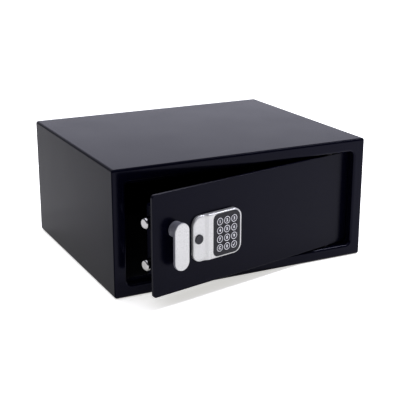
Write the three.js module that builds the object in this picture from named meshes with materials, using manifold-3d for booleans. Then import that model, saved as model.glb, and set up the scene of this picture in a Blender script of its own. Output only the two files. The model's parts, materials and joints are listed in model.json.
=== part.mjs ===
// Laptop safe: a steel box with a recessed front door that stands a little open.
//
// Millimetres, +Z up, +X to the right of someone who faces the door, +Y to the back. The origin is
// the middle of the base. Every piece is written in the place it has when the door is shut, with
// the front face of the frame at y = 0: the safe's group shifts all of it to the origin, and the
// door's group turns about the hinge by DOOR_AJAR.

import * as THREE from 'three';
import { mergeVertices } from 'three/addons/utils/BufferGeometryUtils.js';
import Module from 'manifold-3d';

const wasm = await Module();
wasm.setup();

// Body
const BODY_WIDTH = 430;
const BODY_DEPTH = 350;
const BODY_HEIGHT = 195;
const BODY_SHEET = 2;
const BODY_BEND_RADIUS = 2.5;
const BACK_WELD_GAP = 0.3;
const FRAME_SIDE = 19.5;
const FRAME_BOTTOM = 19;
const FRAME_TOP = 20;
const FRAME_ROLL_RADIUS = 4;
const FRAME_RETURN_DEPTH = 24;
const OPENING_CORNER_RADIUS = 8;

// What lies on or in the body
const STOP_HEIGHT = 5.5;
const STOP_THICKNESS = 2;
const STOP_CLEARANCE = 0.5;
const MAT_THICKNESS = 3;
const MAT_MARGIN = 2;
const MAT_SETBACK = 6;
const ANCHOR_HOLE_DIAMETER = 12;
const ANCHOR_SPREAD = 240;
const ANCHOR_BACK_HEIGHT = 140;
const ANCHOR_BASE_SETBACK = 230;
const PLUG_FLANGE_DIAMETER = 18;
const PLUG_FLANGE_THICKNESS = 1.5;

// Door plate
const DOOR_AJAR = 12.2;
const DOOR_THICKNESS = 5;
const DOOR_RECESS = 7;
const DOOR_GAP_SIDE = 2;
const DOOR_GAP_END = 2.5;
const DOOR_EDGE_ROUND = 0.6;

// Hinge, a vertical pin at each end of the door
const HINGE_INSET = 36;
const HINGE_BEHIND_PLATE = 5.5;
const HINGE_SWING_CLEARANCE = 0.5;
const HINGE_PIN_DIAMETER = 5;
const HINGE_PIN_REACH = 16;
const HINGE_HEAD_DIAMETER = 10;
const HINGE_HEAD_THICKNESS = 2;
const HINGE_WASHER_DIAMETER = 12;
const KNUCKLE_WIDTH = 14;
const KNUCKLE_WALL = 3.7;
const KNUCKLE_HEIGHT = 22;

// Clearances
const FIT = 0.3;
const RUN = 0.5;
const CHAMFER = 1;

// Bolt work. Heights here and below are from the door's middle, places across from its left edge.
const BOLT_DIAMETER = 17;
const BOLT_LOWER_HEIGHT = -34;
const BOLT_PITCH = 62;
const BOLT_SETBACK = 3;
const BOLT_THROW = 18;
const BOLT_SCREW_DIAMETER = 5;
const BOLT_SCREW_HEAD = 9;
const BOLT_SCREW_DEPTH = 10;
const BOLT_SCREW_HEAD_THICKNESS = 2.5;
const CARRIAGE_SHEET = 3;
const CARRIAGE_FLANGE_REACH = 7;
const CARRIAGE_WEB_REACH = 46;
const CARRIAGE_WEB_HEIGHT = 46;
const CARRIAGE_WEB_LIFT = -31;
const CARRIAGE_WEB_SHEET = 2;
const CARRIAGE_WEB_BEHIND = 1.5;
const GUIDE_SHEET = 2;
const GUIDE_FOOT = 5;
const GUIDE_MARGIN = 5;
const STUD_DIAMETER = 5;
const STUD_PLACE = 59.5;
const STUD_LOWER_HEIGHT = -23;
const STUD_UPPER_HEIGHT = 2;
const STUD_PROUD = 1.5;

// Handle
const HANDLE_PLACE = 37.7;
const HANDLE_HEIGHT = 20.2;
const HANDLE_TURN = 45;
const NECK_DIAMETER = 23.6;
const LEVER_WIDTH = 25.2;
const LEVER_LENGTH = 70.2;
const LEVER_STANDOFF = 12.4;
const LEVER_THICKNESS = 4.2;
const FACE_THICKNESS = 0.9;
const FACE_INSET = 0.3;
const SPINDLE_DIAMETER = 8;
const SPINDLE_GRIP = 8;
const BUSH_WALL = 1.7;
const BUSH_FLANGE_DIAMETER = 18;
const BUSH_FLANGE_THICKNESS = 1;
const BUSH_TAIL = 1.5;
const CRANK_SHEET = 3;
const CRANK_HUB_RADIUS = 8;
const CRANK_EYE_RADIUS = 5.5;
const CRANK_PIN_DIAMETER = 6;
const NUT_WIDTH = 10;
const NUT_THICKNESS = 3.5;
const NUT_THREAD_DIAMETER = 5;

// Keypad housing, on the door's front
const HOUSING_PLACE = 68.3;
const HOUSING_WIDTH = 86.9;
const HOUSING_HEIGHT = 69.1;
const HOUSING_LIFT = -37.8;
const HOUSING_CORNER = 14;
const HOUSING_LOW = 5;
const HOUSING_HIGH = 8;
const HOUSING_STEP_START = 20;
const HOUSING_STEP_RUN = 7;
const HOUSING_EDGE = 1.5;
const HOUSING_WALL = 2;
const PANEL_WIDTH = 50.2;
const PANEL_HEIGHT = 64.3;
const PANEL_CORNER = 11;
const PANEL_THICKNESS = 2.5;
const PANEL_PLACE = 58.2;
const PANEL_LIFT = 34.7;
const PANEL_LEDGE = 2;
const BOARD_THICKNESS = 1.6;
const BOARD_BELOW_PANEL = 3.5;

// Keys
const KEY_DIAMETER = 11.4;
const KEY_PITCH = 13.4;
const KEY_PROUD = 0.5;
const KEY_FLANGE = 0.6;
const KEY_FLANGE_THICKNESS = 1;
const KEY_COLUMNS = 3;
const KEY_ROWS = 4;

// Emergency lock, placed from the housing's lower left corner
const LOCK_PLACE = 8.8;
const LOCK_HEIGHT = 34.8;
const LOCK_DIAMETER = 15;
const LOCK_PLUG_DIAMETER = 10;
const LOCK_BEHIND_PLATE = 9;
const LOCK_KEYWAY_WIDTH = 1.6;
const LOCK_KEYWAY_HEIGHT = 6;
const CAM_REACH = 14;
const CAM_WIDTH = 8;
const CAM_SHEET = 2;
const DISC_DIAMETER = 14.4;
const DISC_THICKNESS = 1.3;
const DISC_STUB_DIAMETER = 8;

// Inner cover, which closes round what it covers, and the electrical pieces under it
const COVER_INSET = 16;
const COVER_SIDE_ROOM = 9.8;
const COVER_HEAD_ROOM = 2.8;
const COVER_FOOT_ROOM = 4.3;
const COVER_SHEET = 1.2;
const COVER_CORNER = 3;
const COVER_REAR_CLEARANCE = 1.3;
const TAB_WIDTH = 12;
const TAB_REACH = 10;
const TAB_LEFT = 32;
const TAB_RIGHT = 22;
const SCREW_DIAMETER = 4;
const SCREW_HEAD_DIAMETER = 7.5;
const SCREW_HEAD_THICKNESS = 2.4;
const SCREW_GRIP = 3;
const SOLENOID_WIDTH = 24;
const SOLENOID_HEIGHT = 28;
const SOLENOID_DEPTH = 20;
const PLUNGER_DIAMETER = 6;
const PLUNGER_TRAVEL = 5;
const PLUNGER_TIP_GAP = 0.6;
const PLUNGER_BORE_DEPTH = 18;
const CELL_DIAMETER = 14.5;
const CELL_LENGTH = 50.5;
const CELL_COUNT = 4;
const CELL_PITCH = 15;
const CELL_TIP_DIAMETER = 5.5;
const CELL_TIP_LENGTH = 1;
const HOLDER_WALL = 2;
const HOLDER_FLOOR = 1.2;
const HOLDER_GAP = 24;
const LID_OVERLAP = 2;
const LID_SLACK = 0.4;
const CONTROL_WIDTH = 70;
const CONTROL_HEIGHT = 44;
const CONTROL_GAP = 22.7;
const CONTROL_LIFT = 9;
const CONTROL_STANDOFF = 2;
const CONTROL_PART_HEIGHT = 5;
const SWITCH_PLACE = 16;
const SWITCH_LIFT = 24;
const SWITCH_SIZE = 6;
const RESET_DIAMETER = 6;
const RESET_STEM_DIAMETER = 3;
const RESET_PROUD = 1.5;
const RESET_TRAVEL = 1;
const WIRE_DIAMETER = 4;
const WIRE_HOLE_DIAMETER = 12;
const WIRE_INSET = 13.5;
const WIRE_HEIGHT = 14.5;

// Facets
const ROUND = 28;
const SMALL_ROUND = 20;
const CORNER_STEPS = 3;

// Places that follow from the sizes
const openingLeft = -BODY_WIDTH / 2 + FRAME_SIDE;
const openingRight = BODY_WIDTH / 2 - FRAME_SIDE;
const openingBottom = FRAME_BOTTOM;
const openingTop = BODY_HEIGHT - FRAME_TOP;
const innerWall = BODY_WIDTH / 2 - BODY_SHEET;

const hingeLever = Math.hypot(HINGE_INSET, DOOR_THICKNESS + HINGE_BEHIND_PLATE);
const doorGapHinge = hingeLever - HINGE_INSET + HINGE_SWING_CLEARANCE;
const doorLeft = openingLeft + DOOR_GAP_SIDE;
const doorRight = openingRight - doorGapHinge;
const doorBottom = openingBottom + DOOR_GAP_END;
const doorTop = openingTop - DOOR_GAP_END;
const doorMiddle = (doorBottom + doorTop) / 2;
const doorFront = DOOR_RECESS;
const doorRear = doorFront + DOOR_THICKNESS;
const doorCorner = OPENING_CORNER_RADIUS - DOOR_GAP_END - HINGE_SWING_CLEARANCE;
const hingeX = doorRight - HINGE_INSET;
const hingeY = doorRear + HINGE_BEHIND_PLATE;

const boltY = FRAME_RETURN_DEPTH + RUN + BOLT_DIAMETER / 2;
const boltZ = [0, 1].map((i) => doorMiddle + BOLT_LOWER_HEIGHT + i * BOLT_PITCH);
const boltEnd = doorLeft + BOLT_SETBACK;
const coverLeft = doorLeft + COVER_INSET;
const coverFront = doorRear + FIT;
const coverInner = boltY + BOLT_DIAMETER / 2 + COVER_REAR_CLEARANCE;
const coverRear = coverInner + COVER_SHEET;
const guideLeft = coverLeft + COVER_SHEET + FIT;
const guideRight = guideLeft + GUIDE_SHEET;
const guideBottom = boltZ[0] - BOLT_DIAMETER / 2 - GUIDE_MARGIN;
const guideTop = boltZ[1] + BOLT_DIAMETER / 2 + GUIDE_MARGIN;
const flangeLeft = guideRight + 2 * RUN + BOLT_THROW;
const flangeRight = flangeLeft + CARRIAGE_SHEET;
const webFront = FRAME_RETURN_DEPTH + RUN + CARRIAGE_WEB_BEHIND;
const webRear = webFront + CARRIAGE_WEB_SHEET;
const webRight = flangeRight + CARRIAGE_WEB_REACH;
const webBottom = doorMiddle + CARRIAGE_WEB_LIFT;
const webTop = webBottom + CARRIAGE_WEB_HEIGHT;

const handleX = doorLeft + HANDLE_PLACE;
const handleZ = doorMiddle + HANDLE_HEIGHT;
const halfTurn = THREE.MathUtils.degToRad(HANDLE_TURN / 2);
const crankReach = BOLT_THROW / 2 / Math.sin(halfTurn);
const crankPinX = handleX + BOLT_THROW / 2;
const crankPinZ = handleZ - crankReach * Math.cos(halfTurn);
const crankFront = doorRear + BUSH_TAIL + 2 * RUN;
const crankRear = crankFront + CRANK_SHEET;

const housingLeft = doorLeft + HOUSING_PLACE;
const housingBottom = doorMiddle + HOUSING_LIFT;
const housingRear = doorFront - FIT;
const panelX = housingLeft + PANEL_PLACE;
const panelZ = housingBottom + PANEL_LIFT;
const panelFront = doorFront - HOUSING_HIGH;
const panelRear = panelFront + PANEL_THICKNESS;
const boardFront = panelRear + BOARD_BELOW_PANEL;
const boardRear = boardFront + BOARD_THICKNESS;
const lockX = housingLeft + LOCK_PLACE;
const lockZ = housingBottom + LOCK_HEIGHT;
const lockFront = doorFront;
const lockRear = doorRear + LOCK_BEHIND_PLATE;

const plungerX = webRight - BOLT_THROW + RUN + PLUNGER_DIAMETER / 2 + FIT;
const plungerY = (webFront + webRear) / 2;
const solenoidBottom = webTop + PLUNGER_DIAMETER;

const coverBottom = guideBottom - COVER_FOOT_ROOM - COVER_SHEET;
const coverTop = solenoidBottom + SOLENOID_HEIGHT + COVER_HEAD_ROOM + COVER_SHEET;

const controlLeft = plungerX + SOLENOID_WIDTH / 2 + CONTROL_GAP;
const controlBottom = coverBottom + CONTROL_LIFT;
const controlFront = doorRear + FIT + CONTROL_STANDOFF;
const controlRear = controlFront + BOARD_THICKNESS;
const switchX = controlLeft + SWITCH_PLACE;
const switchZ = controlBottom + SWITCH_LIFT;
const switchRear = controlRear + CONTROL_PART_HEIGHT;
const wireX = controlLeft + WIRE_INSET;
const wireZ = doorMiddle + WIRE_HEIGHT;

const holderLeft = switchX + RESET_DIAMETER / 2 + HOLDER_GAP;
const holderWidth = CELL_COUNT * CELL_PITCH + 2 * HOLDER_WALL;
const holderHeight = CELL_LENGTH + 2 * CELL_TIP_LENGTH + 2 * HOLDER_WALL + 2 * RUN;
const holderBottom = (coverBottom + coverTop - holderHeight) / 2;
const cellY = coverInner - 2 * FIT - RUN - CELL_DIAMETER / 2;
const holderFront = cellY - CELL_DIAMETER / 2 - RUN - HOLDER_FLOOR;
const holderRear = coverInner - FIT;
const coverRight = holderLeft + holderWidth + COVER_SIDE_ROOM + COVER_SHEET;

// Materials
const paint = (color, roughness, metalness) =>
  new THREE.MeshStandardMaterial({ color, roughness, metalness });
const BLACK_POWDER_COAT = paint(0x1d1d22, 0.55, 0.2);
const ZINC_STEEL = paint(0x9a9ca0, 0.35, 1);
const CHROME_STEEL = paint(0xd4d6da, 0.1, 1);
const SATIN_SILVER = paint(0xd2d3d8, 0.38, 0.3);
const DARK_PANEL = paint(0x3c3c45, 0.5, 0);
const KEY_RUBBER = paint(0x34343d, 0.6, 0);
const BLACK_PLASTIC = paint(0x17171a, 0.5, 0);
const DISC_PLASTIC = paint(0x26262d, 0.3, 0);
const WHITE_NYLON = paint(0xd8d6cc, 0.5, 0);
const FELT = paint(0x2b2b30, 0.95, 0);
const BRASS = paint(0xb08d4a, 0.35, 1);
const BOARD_GREEN = paint(0x1f5a35, 0.5, 0);
const CELL_JACKET = paint(0x3f4650, 0.4, 0.2);
const RED_PLASTIC = paint(0xa52a22, 0.5, 0);

// Joins and cuts
function solidOf(geometry) {
  const bare = geometry.clone();
  bare.deleteAttribute('normal');
  bare.deleteAttribute('uv');
  const merged = mergeVertices(bare, 1e-4);
  return new wasm.Manifold(new wasm.Mesh({
    numProp: 3,
    vertProperties: new Float32Array(merged.attributes.position.array),
    triVerts: new Uint32Array(merged.index.array),
  }));
}

function geometryOf(solid) {
  const mesh = solid.getMesh();
  const geometry = new THREE.BufferGeometry();
  geometry.setAttribute('position', new THREE.BufferAttribute(mesh.vertProperties, 3));
  geometry.setIndex(new THREE.BufferAttribute(mesh.triVerts, 1));
  return geometry;
}

// Builds one geometry from a base, the shapes joined to it and the shapes cut from it.
function carve(base, { add = [], cut = [] }) {
  let solid = solidOf(base);
  for (const shape of add) solid = solid.add(solidOf(shape));
  for (const shape of cut) solid = solid.subtract(solidOf(shape));
  return geometryOf(solid);
}

// Basic shapes
function box(x0, x1, y0, y1, z0, z1) {
  const geometry = new THREE.BoxGeometry(x1 - x0, y1 - y0, z1 - z0);
  return geometry.translate((x0 + x1) / 2, (y0 + y1) / 2, (z0 + z1) / 2);
}

// A rod along one axis, from low to high, whose centre line crosses the other two axes at a and b.
function rod(axis, radius, low, high, a, b, steps = ROUND) {
  const geometry = new THREE.CylinderGeometry(radius, radius, high - low, steps);
  const middle = (low + high) / 2;
  if (axis === 'x') return geometry.rotateZ(Math.PI / 2).translate(middle, a, b);
  if (axis === 'y') return geometry.translate(a, middle, b);
  return geometry.rotateX(Math.PI / 2).translate(a, b, middle);
}

// A turned piece on an axis along Y through (x, z), from its radius at each place along y.
function turned(x, z, stations, steps = ROUND) {
  const first = stations[0][1];
  const last = stations[stations.length - 1][1];
  const profile = [[0, first], ...stations, [0, last]].map(([r, y]) => new THREE.Vector2(r, y));
  return new THREE.LatheGeometry(profile, steps).translate(x, 0, z);
}

function roundedRect(x0, x1, z0, z1, radius, Kind = THREE.Shape) {
  const outline = new Kind();
  outline.absarc(x1 - radius, z1 - radius, radius, 0, Math.PI / 2);
  outline.absarc(x0 + radius, z1 - radius, radius, Math.PI / 2, Math.PI);
  outline.absarc(x0 + radius, z0 + radius, radius, Math.PI, 1.5 * Math.PI);
  outline.absarc(x1 - radius, z0 + radius, radius, 1.5 * Math.PI, 2 * Math.PI);
  outline.closePath();
  return outline;
}

function stadium(xa, za, xb, zb, radius) {
  const along = Math.atan2(zb - za, xb - xa);
  const outline = new THREE.Shape();
  outline.absarc(xa, za, radius, along + Math.PI / 2, along + 1.5 * Math.PI);
  outline.absarc(xb, zb, radius, along - Math.PI / 2, along + Math.PI / 2);
  outline.closePath();
  return outline;
}

// An outline in the XZ plane made solid from y0 to y1, with both its faces rounded by edge.
function slab(outline, y0, y1, edge = 0, curveSteps = CORNER_STEPS, edgeSteps = 2) {
  const geometry = new THREE.ExtrudeGeometry(outline, {
    depth: y1 - y0 - 2 * edge,
    curveSegments: curveSteps,
    bevelEnabled: edge > 0,
    bevelThickness: edge,
    bevelSize: edge,
    bevelOffset: -edge,
    bevelSegments: edgeSteps,
  });
  return geometry.rotateX(Math.PI / 2).translate(0, y1 - edge, 0);
}

// The same, rounded on its front only.
function pad(outline, y0, y1, edge, curveSteps = CORNER_STEPS) {
  const long = slab(outline, y0, y1 + 2 * edge, edge, curveSteps);
  const reach = 2 * BODY_WIDTH;
  return carve(long, { cut: [box(-reach, reach, y1, y1 + 3 * edge, -reach, reach)] });
}

// Groups: the whole safe, and the door turned about its hinge
const safe = new THREE.Group();
safe.position.y = -BODY_DEPTH / 2;
const door = new THREE.Group();
door.position.set(hingeX, hingeY, 0);
door.rotation.z = THREE.MathUtils.degToRad(DOOR_AJAR);
const doorShut = new THREE.Group();
doorShut.position.set(-hingeX, -hingeY, 0);
door.add(doorShut);
safe.add(door);

function place(parent, name, geometry, material) {
  const mesh = new THREE.Mesh(geometry, material);
  mesh.name = name;
  parent.add(mesh);
}

// Body
function addBody() {
  const outer = roundedRect(-BODY_WIDTH / 2, BODY_WIDTH / 2, 0, BODY_HEIGHT, BODY_BEND_RADIUS);
  outer.holes.push(roundedRect(-innerWall, innerWall, BODY_SHEET, BODY_HEIGHT - BODY_SHEET,
    BODY_BEND_RADIUS - BODY_SHEET, THREE.Path));
  const baseHoles = [-1, 1].map((side) => rod('z', ANCHOR_HOLE_DIAMETER / 2, -BODY_SHEET,
    2 * BODY_SHEET, side * ANCHOR_SPREAD / 2, ANCHOR_BASE_SETBACK, SMALL_ROUND));
  const shell = carve(slab(outer, BODY_SHEET, BODY_DEPTH, 0, 3), { cut: baseHoles });
  place(safe, 'body_shell', shell, BLACK_POWDER_COAT);

  const backEdge = innerWall - BACK_WELD_GAP;
  const backLow = BODY_SHEET + BACK_WELD_GAP;
  const back = box(-backEdge, backEdge, BODY_DEPTH - BODY_SHEET, BODY_DEPTH, backLow,
    BODY_HEIGHT - backLow);
  const backHoles = [-1, 1].map((side) => rod('y', ANCHOR_HOLE_DIAMETER / 2,
    BODY_DEPTH - 2 * BODY_SHEET, BODY_DEPTH + BODY_SHEET, side * ANCHOR_SPREAD / 2,
    ANCHOR_BACK_HEIGHT, SMALL_ROUND));
  place(safe, 'back_panel', carve(back, { cut: backHoles }), BLACK_POWDER_COAT);

  for (const [side, word] of [[-1, 'left'], [1, 'right']]) {
    const stem = ANCHOR_HOLE_DIAMETER / 2 - FIT;
    const flangeFront = BODY_DEPTH - BODY_SHEET - PLUG_FLANGE_THICKNESS;
    const plug = turned(side * ANCHOR_SPREAD / 2, ANCHOR_BACK_HEIGHT, [
      [PLUG_FLANGE_DIAMETER / 2, flangeFront],
      [PLUG_FLANGE_DIAMETER / 2, BODY_DEPTH - BODY_SHEET],
      [stem, BODY_DEPTH - BODY_SHEET],
      [stem, BODY_DEPTH],
    ], SMALL_ROUND);
    place(safe, `anchor_plug_${word}`, plug, BLACK_PLASTIC);
  }

  const matEdge = innerWall - MAT_MARGIN;
  const mat = box(-matEdge, matEdge, FRAME_RETURN_DEPTH + MAT_SETBACK,
    BODY_DEPTH - BODY_SHEET - MAT_MARGIN, BODY_SHEET, BODY_SHEET + MAT_THICKNESS);
  place(safe, 'floor_mat', mat, FELT);
}

function addFrame() {
  const outer = roundedRect(-BODY_WIDTH / 2, BODY_WIDTH / 2, 0, BODY_HEIGHT, BODY_BEND_RADIUS);
  const face = pad(outer, 0, BODY_SHEET, BODY_SHEET / 2, 3);
  const around = roundedRect(openingLeft - BODY_SHEET, openingRight + BODY_SHEET,
    openingBottom - BODY_SHEET, openingTop + BODY_SHEET, OPENING_CORNER_RADIUS + BODY_SHEET);
  const returns = slab(around, BODY_SHEET / 2, FRAME_RETURN_DEPTH);
  const block = roundedRect(-BODY_WIDTH, BODY_WIDTH, -BODY_HEIGHT, 2 * BODY_HEIGHT, FRAME_SIDE);
  block.holes.push(roundedRect(openingLeft, openingRight, openingBottom, openingTop,
    OPENING_CORNER_RADIUS, THREE.Path));
  const rolled = solidOf(slab(block, 0, FRAME_RETURN_DEPTH + 2 * FRAME_ROLL_RADIUS,
    FRAME_ROLL_RADIUS));
  const pinHole = rod('z', HINGE_PIN_DIAMETER / 2 + FIT, 0, BODY_HEIGHT, hingeX, hingeY,
    SMALL_ROUND);
  const frame = solidOf(face).add(solidOf(returns)).intersect(rolled).subtract(solidOf(pinHole));
  place(safe, 'front_frame', geometryOf(frame), BLACK_POWDER_COAT);

  const stopFront = doorRear + STOP_CLEARANCE;
  const stopRear = stopFront + STOP_THICKNESS;
  const stopLeft = openingLeft + OPENING_CORNER_RADIUS;
  const knuckleSweep = Math.hypot(KNUCKLE_WIDTH / 2, HINGE_PIN_DIAMETER / 2 + FIT + KNUCKLE_WALL);
  const stopRight = hingeX - knuckleSweep - 2 * RUN;
  place(safe, 'stop_strip_bottom', box(stopLeft, stopRight, stopFront, stopRear, openingBottom,
    openingBottom + STOP_HEIGHT), BLACK_POWDER_COAT);
  place(safe, 'stop_strip_top', box(stopLeft, stopRight, stopFront, stopRear,
    openingTop - STOP_HEIGHT, openingTop), BLACK_POWDER_COAT);
}

// A pin through the frame's return, its head outside, its tip in the door's knuckle, and the washer
// between the return and the knuckle. Up is 1 for the top end and -1 for the bottom end.
function addHingeEnd(word, up) {
  const inside = up > 0 ? openingTop : openingBottom;
  const outside = inside + up * BODY_SHEET;
  const doorEnd = up > 0 ? doorTop : doorBottom;
  const between = (a, b) => [Math.min(a, b), Math.max(a, b)];

  const [headLow, headHigh] = between(outside, outside + up * HINGE_HEAD_THICKNESS);
  const [shankLow, shankHigh] = between(outside + up * RUN, doorEnd - up * HINGE_PIN_REACH);
  const head = rod('z', HINGE_HEAD_DIAMETER / 2, headLow, headHigh, hingeX, hingeY, SMALL_ROUND);
  const shank = rod('z', HINGE_PIN_DIAMETER / 2, shankLow, shankHigh, hingeX, hingeY, SMALL_ROUND);
  place(safe, `hinge_pin_${word}`, carve(head, { add: [shank] }), ZINC_STEEL);

  const [washerLow, washerHigh] = between(inside, doorEnd + up * FIT);
  const bore = rod('z', HINGE_PIN_DIAMETER / 2 + FIT, washerLow - RUN, washerHigh + RUN, hingeX,
    hingeY, SMALL_ROUND);
  const washer = rod('z', HINGE_WASHER_DIAMETER / 2, washerLow, washerHigh, hingeX, hingeY,
    SMALL_ROUND);
  place(safe, `hinge_washer_${word}`, carve(washer, { cut: [bore] }), WHITE_NYLON);

  const [knuckleLow, knuckleHigh] = between(doorEnd, doorEnd - up * KNUCKLE_HEIGHT);
  const knuckle = box(hingeX - KNUCKLE_WIDTH / 2, hingeX + KNUCKLE_WIDTH / 2, doorRear + FIT,
    hingeY + HINGE_PIN_DIAMETER / 2 + FIT + KNUCKLE_WALL, knuckleLow, knuckleHigh);
  const knuckleBore = rod('z', HINGE_PIN_DIAMETER / 2 + FIT, knuckleLow - RUN, knuckleHigh + RUN,
    hingeX, hingeY, SMALL_ROUND);
  place(doorShut, `knuckle_${word}`, carve(knuckle, { cut: [knuckleBore] }), BLACK_POWDER_COAT);
}

// The four fixing tabs of the inner cover: where each screw stands, and which way the tab points
function tabPlaces() {
  const places = [];
  for (const x of [coverLeft + TAB_LEFT, coverRight - TAB_RIGHT]) {
    places.push({ x, z: coverBottom - TAB_REACH / 2, up: -1 });
    places.push({ x, z: coverTop + TAB_REACH / 2, up: 1 });
  }
  return places;
}

// Door
function addDoorPlate() {
  const outline = roundedRect(doorLeft, doorRight, doorBottom, doorTop, doorCorner);
  const front = doorFront - RUN;
  const rear = doorRear + RUN;
  const holes = [
    rod('y', SPINDLE_DIAMETER / 2 + FIT + BUSH_WALL + FIT, front, rear, handleX, handleZ),
    rod('y', LOCK_DIAMETER / 2 + FIT, front, rear, lockX, lockZ),
    rod('y', WIRE_HOLE_DIAMETER / 2, front, rear, wireX, wireZ, SMALL_ROUND),
  ];
  for (const { x, z } of tabPlaces()) {
    holes.push(rod('y', SCREW_DIAMETER / 2 + FIT, doorRear - SCREW_GRIP - FIT, rear, x, z,
      SMALL_ROUND));
  }
  const studs = [STUD_LOWER_HEIGHT, STUD_UPPER_HEIGHT].map((height) => rod('y', STUD_DIAMETER / 2,
    doorRear - RUN, webRear + STUD_PROUD, doorLeft + STUD_PLACE, doorMiddle + height,
    SMALL_ROUND));
  const plate = carve(slab(outline, doorFront, doorRear, DOOR_EDGE_ROUND, CORNER_STEPS, 1),
    { add: studs, cut: holes });
  place(doorShut, 'door_plate', plate, BLACK_POWDER_COAT);
}

function addInnerCover() {
  const shellOutline = roundedRect(coverLeft, coverRight, coverBottom, coverTop, COVER_CORNER);
  const inner = roundedRect(coverLeft + COVER_SHEET, coverRight - COVER_SHEET,
    coverBottom + COVER_SHEET, coverTop - COVER_SHEET, COVER_CORNER - COVER_SHEET);
  const tabs = tabPlaces().map(({ x, z, up }) => {
    const root = up > 0 ? z - TAB_REACH / 2 - COVER_SHEET / 2 : z - TAB_REACH / 2;
    return box(x - TAB_WIDTH / 2, x + TAB_WIDTH / 2, coverFront, coverFront + COVER_SHEET, root,
      root + TAB_REACH + COVER_SHEET / 2);
  });
  const cuts = [
    slab(inner, coverFront - RUN, coverInner),
    box(holderLeft + LID_OVERLAP, holderLeft + holderWidth - LID_OVERLAP, coverInner - RUN,
      coverRear + RUN, holderBottom + LID_OVERLAP, holderBottom + holderHeight - LID_OVERLAP),
    rod('y', RESET_DIAMETER / 2 + FIT, coverInner - RUN, coverRear + RUN, switchX, switchZ,
      SMALL_ROUND),
  ];
  for (const { x, z } of tabPlaces()) {
    cuts.push(rod('y', SCREW_DIAMETER / 2 + FIT, coverFront - RUN, coverFront + 2 * COVER_SHEET,
      x, z, SMALL_ROUND));
  }
  for (const z of boltZ) {
    cuts.push(rod('x', BOLT_DIAMETER / 2 + RUN, coverLeft - RUN, coverLeft + 2 * COVER_SHEET,
      boltY, z));
  }
  const cover = carve(slab(shellOutline, coverFront, coverRear), { add: tabs, cut: cuts });
  place(doorShut, 'inner_cover', cover, BLACK_POWDER_COAT);

  tabPlaces().forEach(({ x, z }, index) => {
    const headFront = coverFront + COVER_SHEET + FIT;
    const screw = turned(x, z, [
      [SCREW_DIAMETER / 2, doorRear - SCREW_GRIP],
      [SCREW_DIAMETER / 2, headFront],
      [SCREW_HEAD_DIAMETER / 2, headFront],
      [SCREW_HEAD_DIAMETER / 2, headFront + SCREW_HEAD_THICKNESS / 2],
      [SCREW_HEAD_DIAMETER / 3, headFront + SCREW_HEAD_THICKNESS],
    ], SMALL_ROUND);
    place(doorShut, `cover_screw_${index + 1}`, screw, ZINC_STEEL);
  });

  const lid = box(holderLeft + LID_OVERLAP + LID_SLACK,
    holderLeft + holderWidth - LID_OVERLAP - LID_SLACK, coverInner, coverRear,
    holderBottom + LID_OVERLAP + LID_SLACK, holderBottom + holderHeight - LID_OVERLAP - LID_SLACK);
  const gripX = holderLeft + holderWidth / 2;
  const gripZ = holderBottom + holderHeight - LID_OVERLAP - LID_SLACK;
  const grip = rod('y', BOLT_DIAMETER / 2, coverInner - RUN, coverRear + RUN, gripX, gripZ,
    SMALL_ROUND);
  place(doorShut, 'battery_lid', carve(lid, { cut: [grip] }), BLACK_PLASTIC);
}

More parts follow.
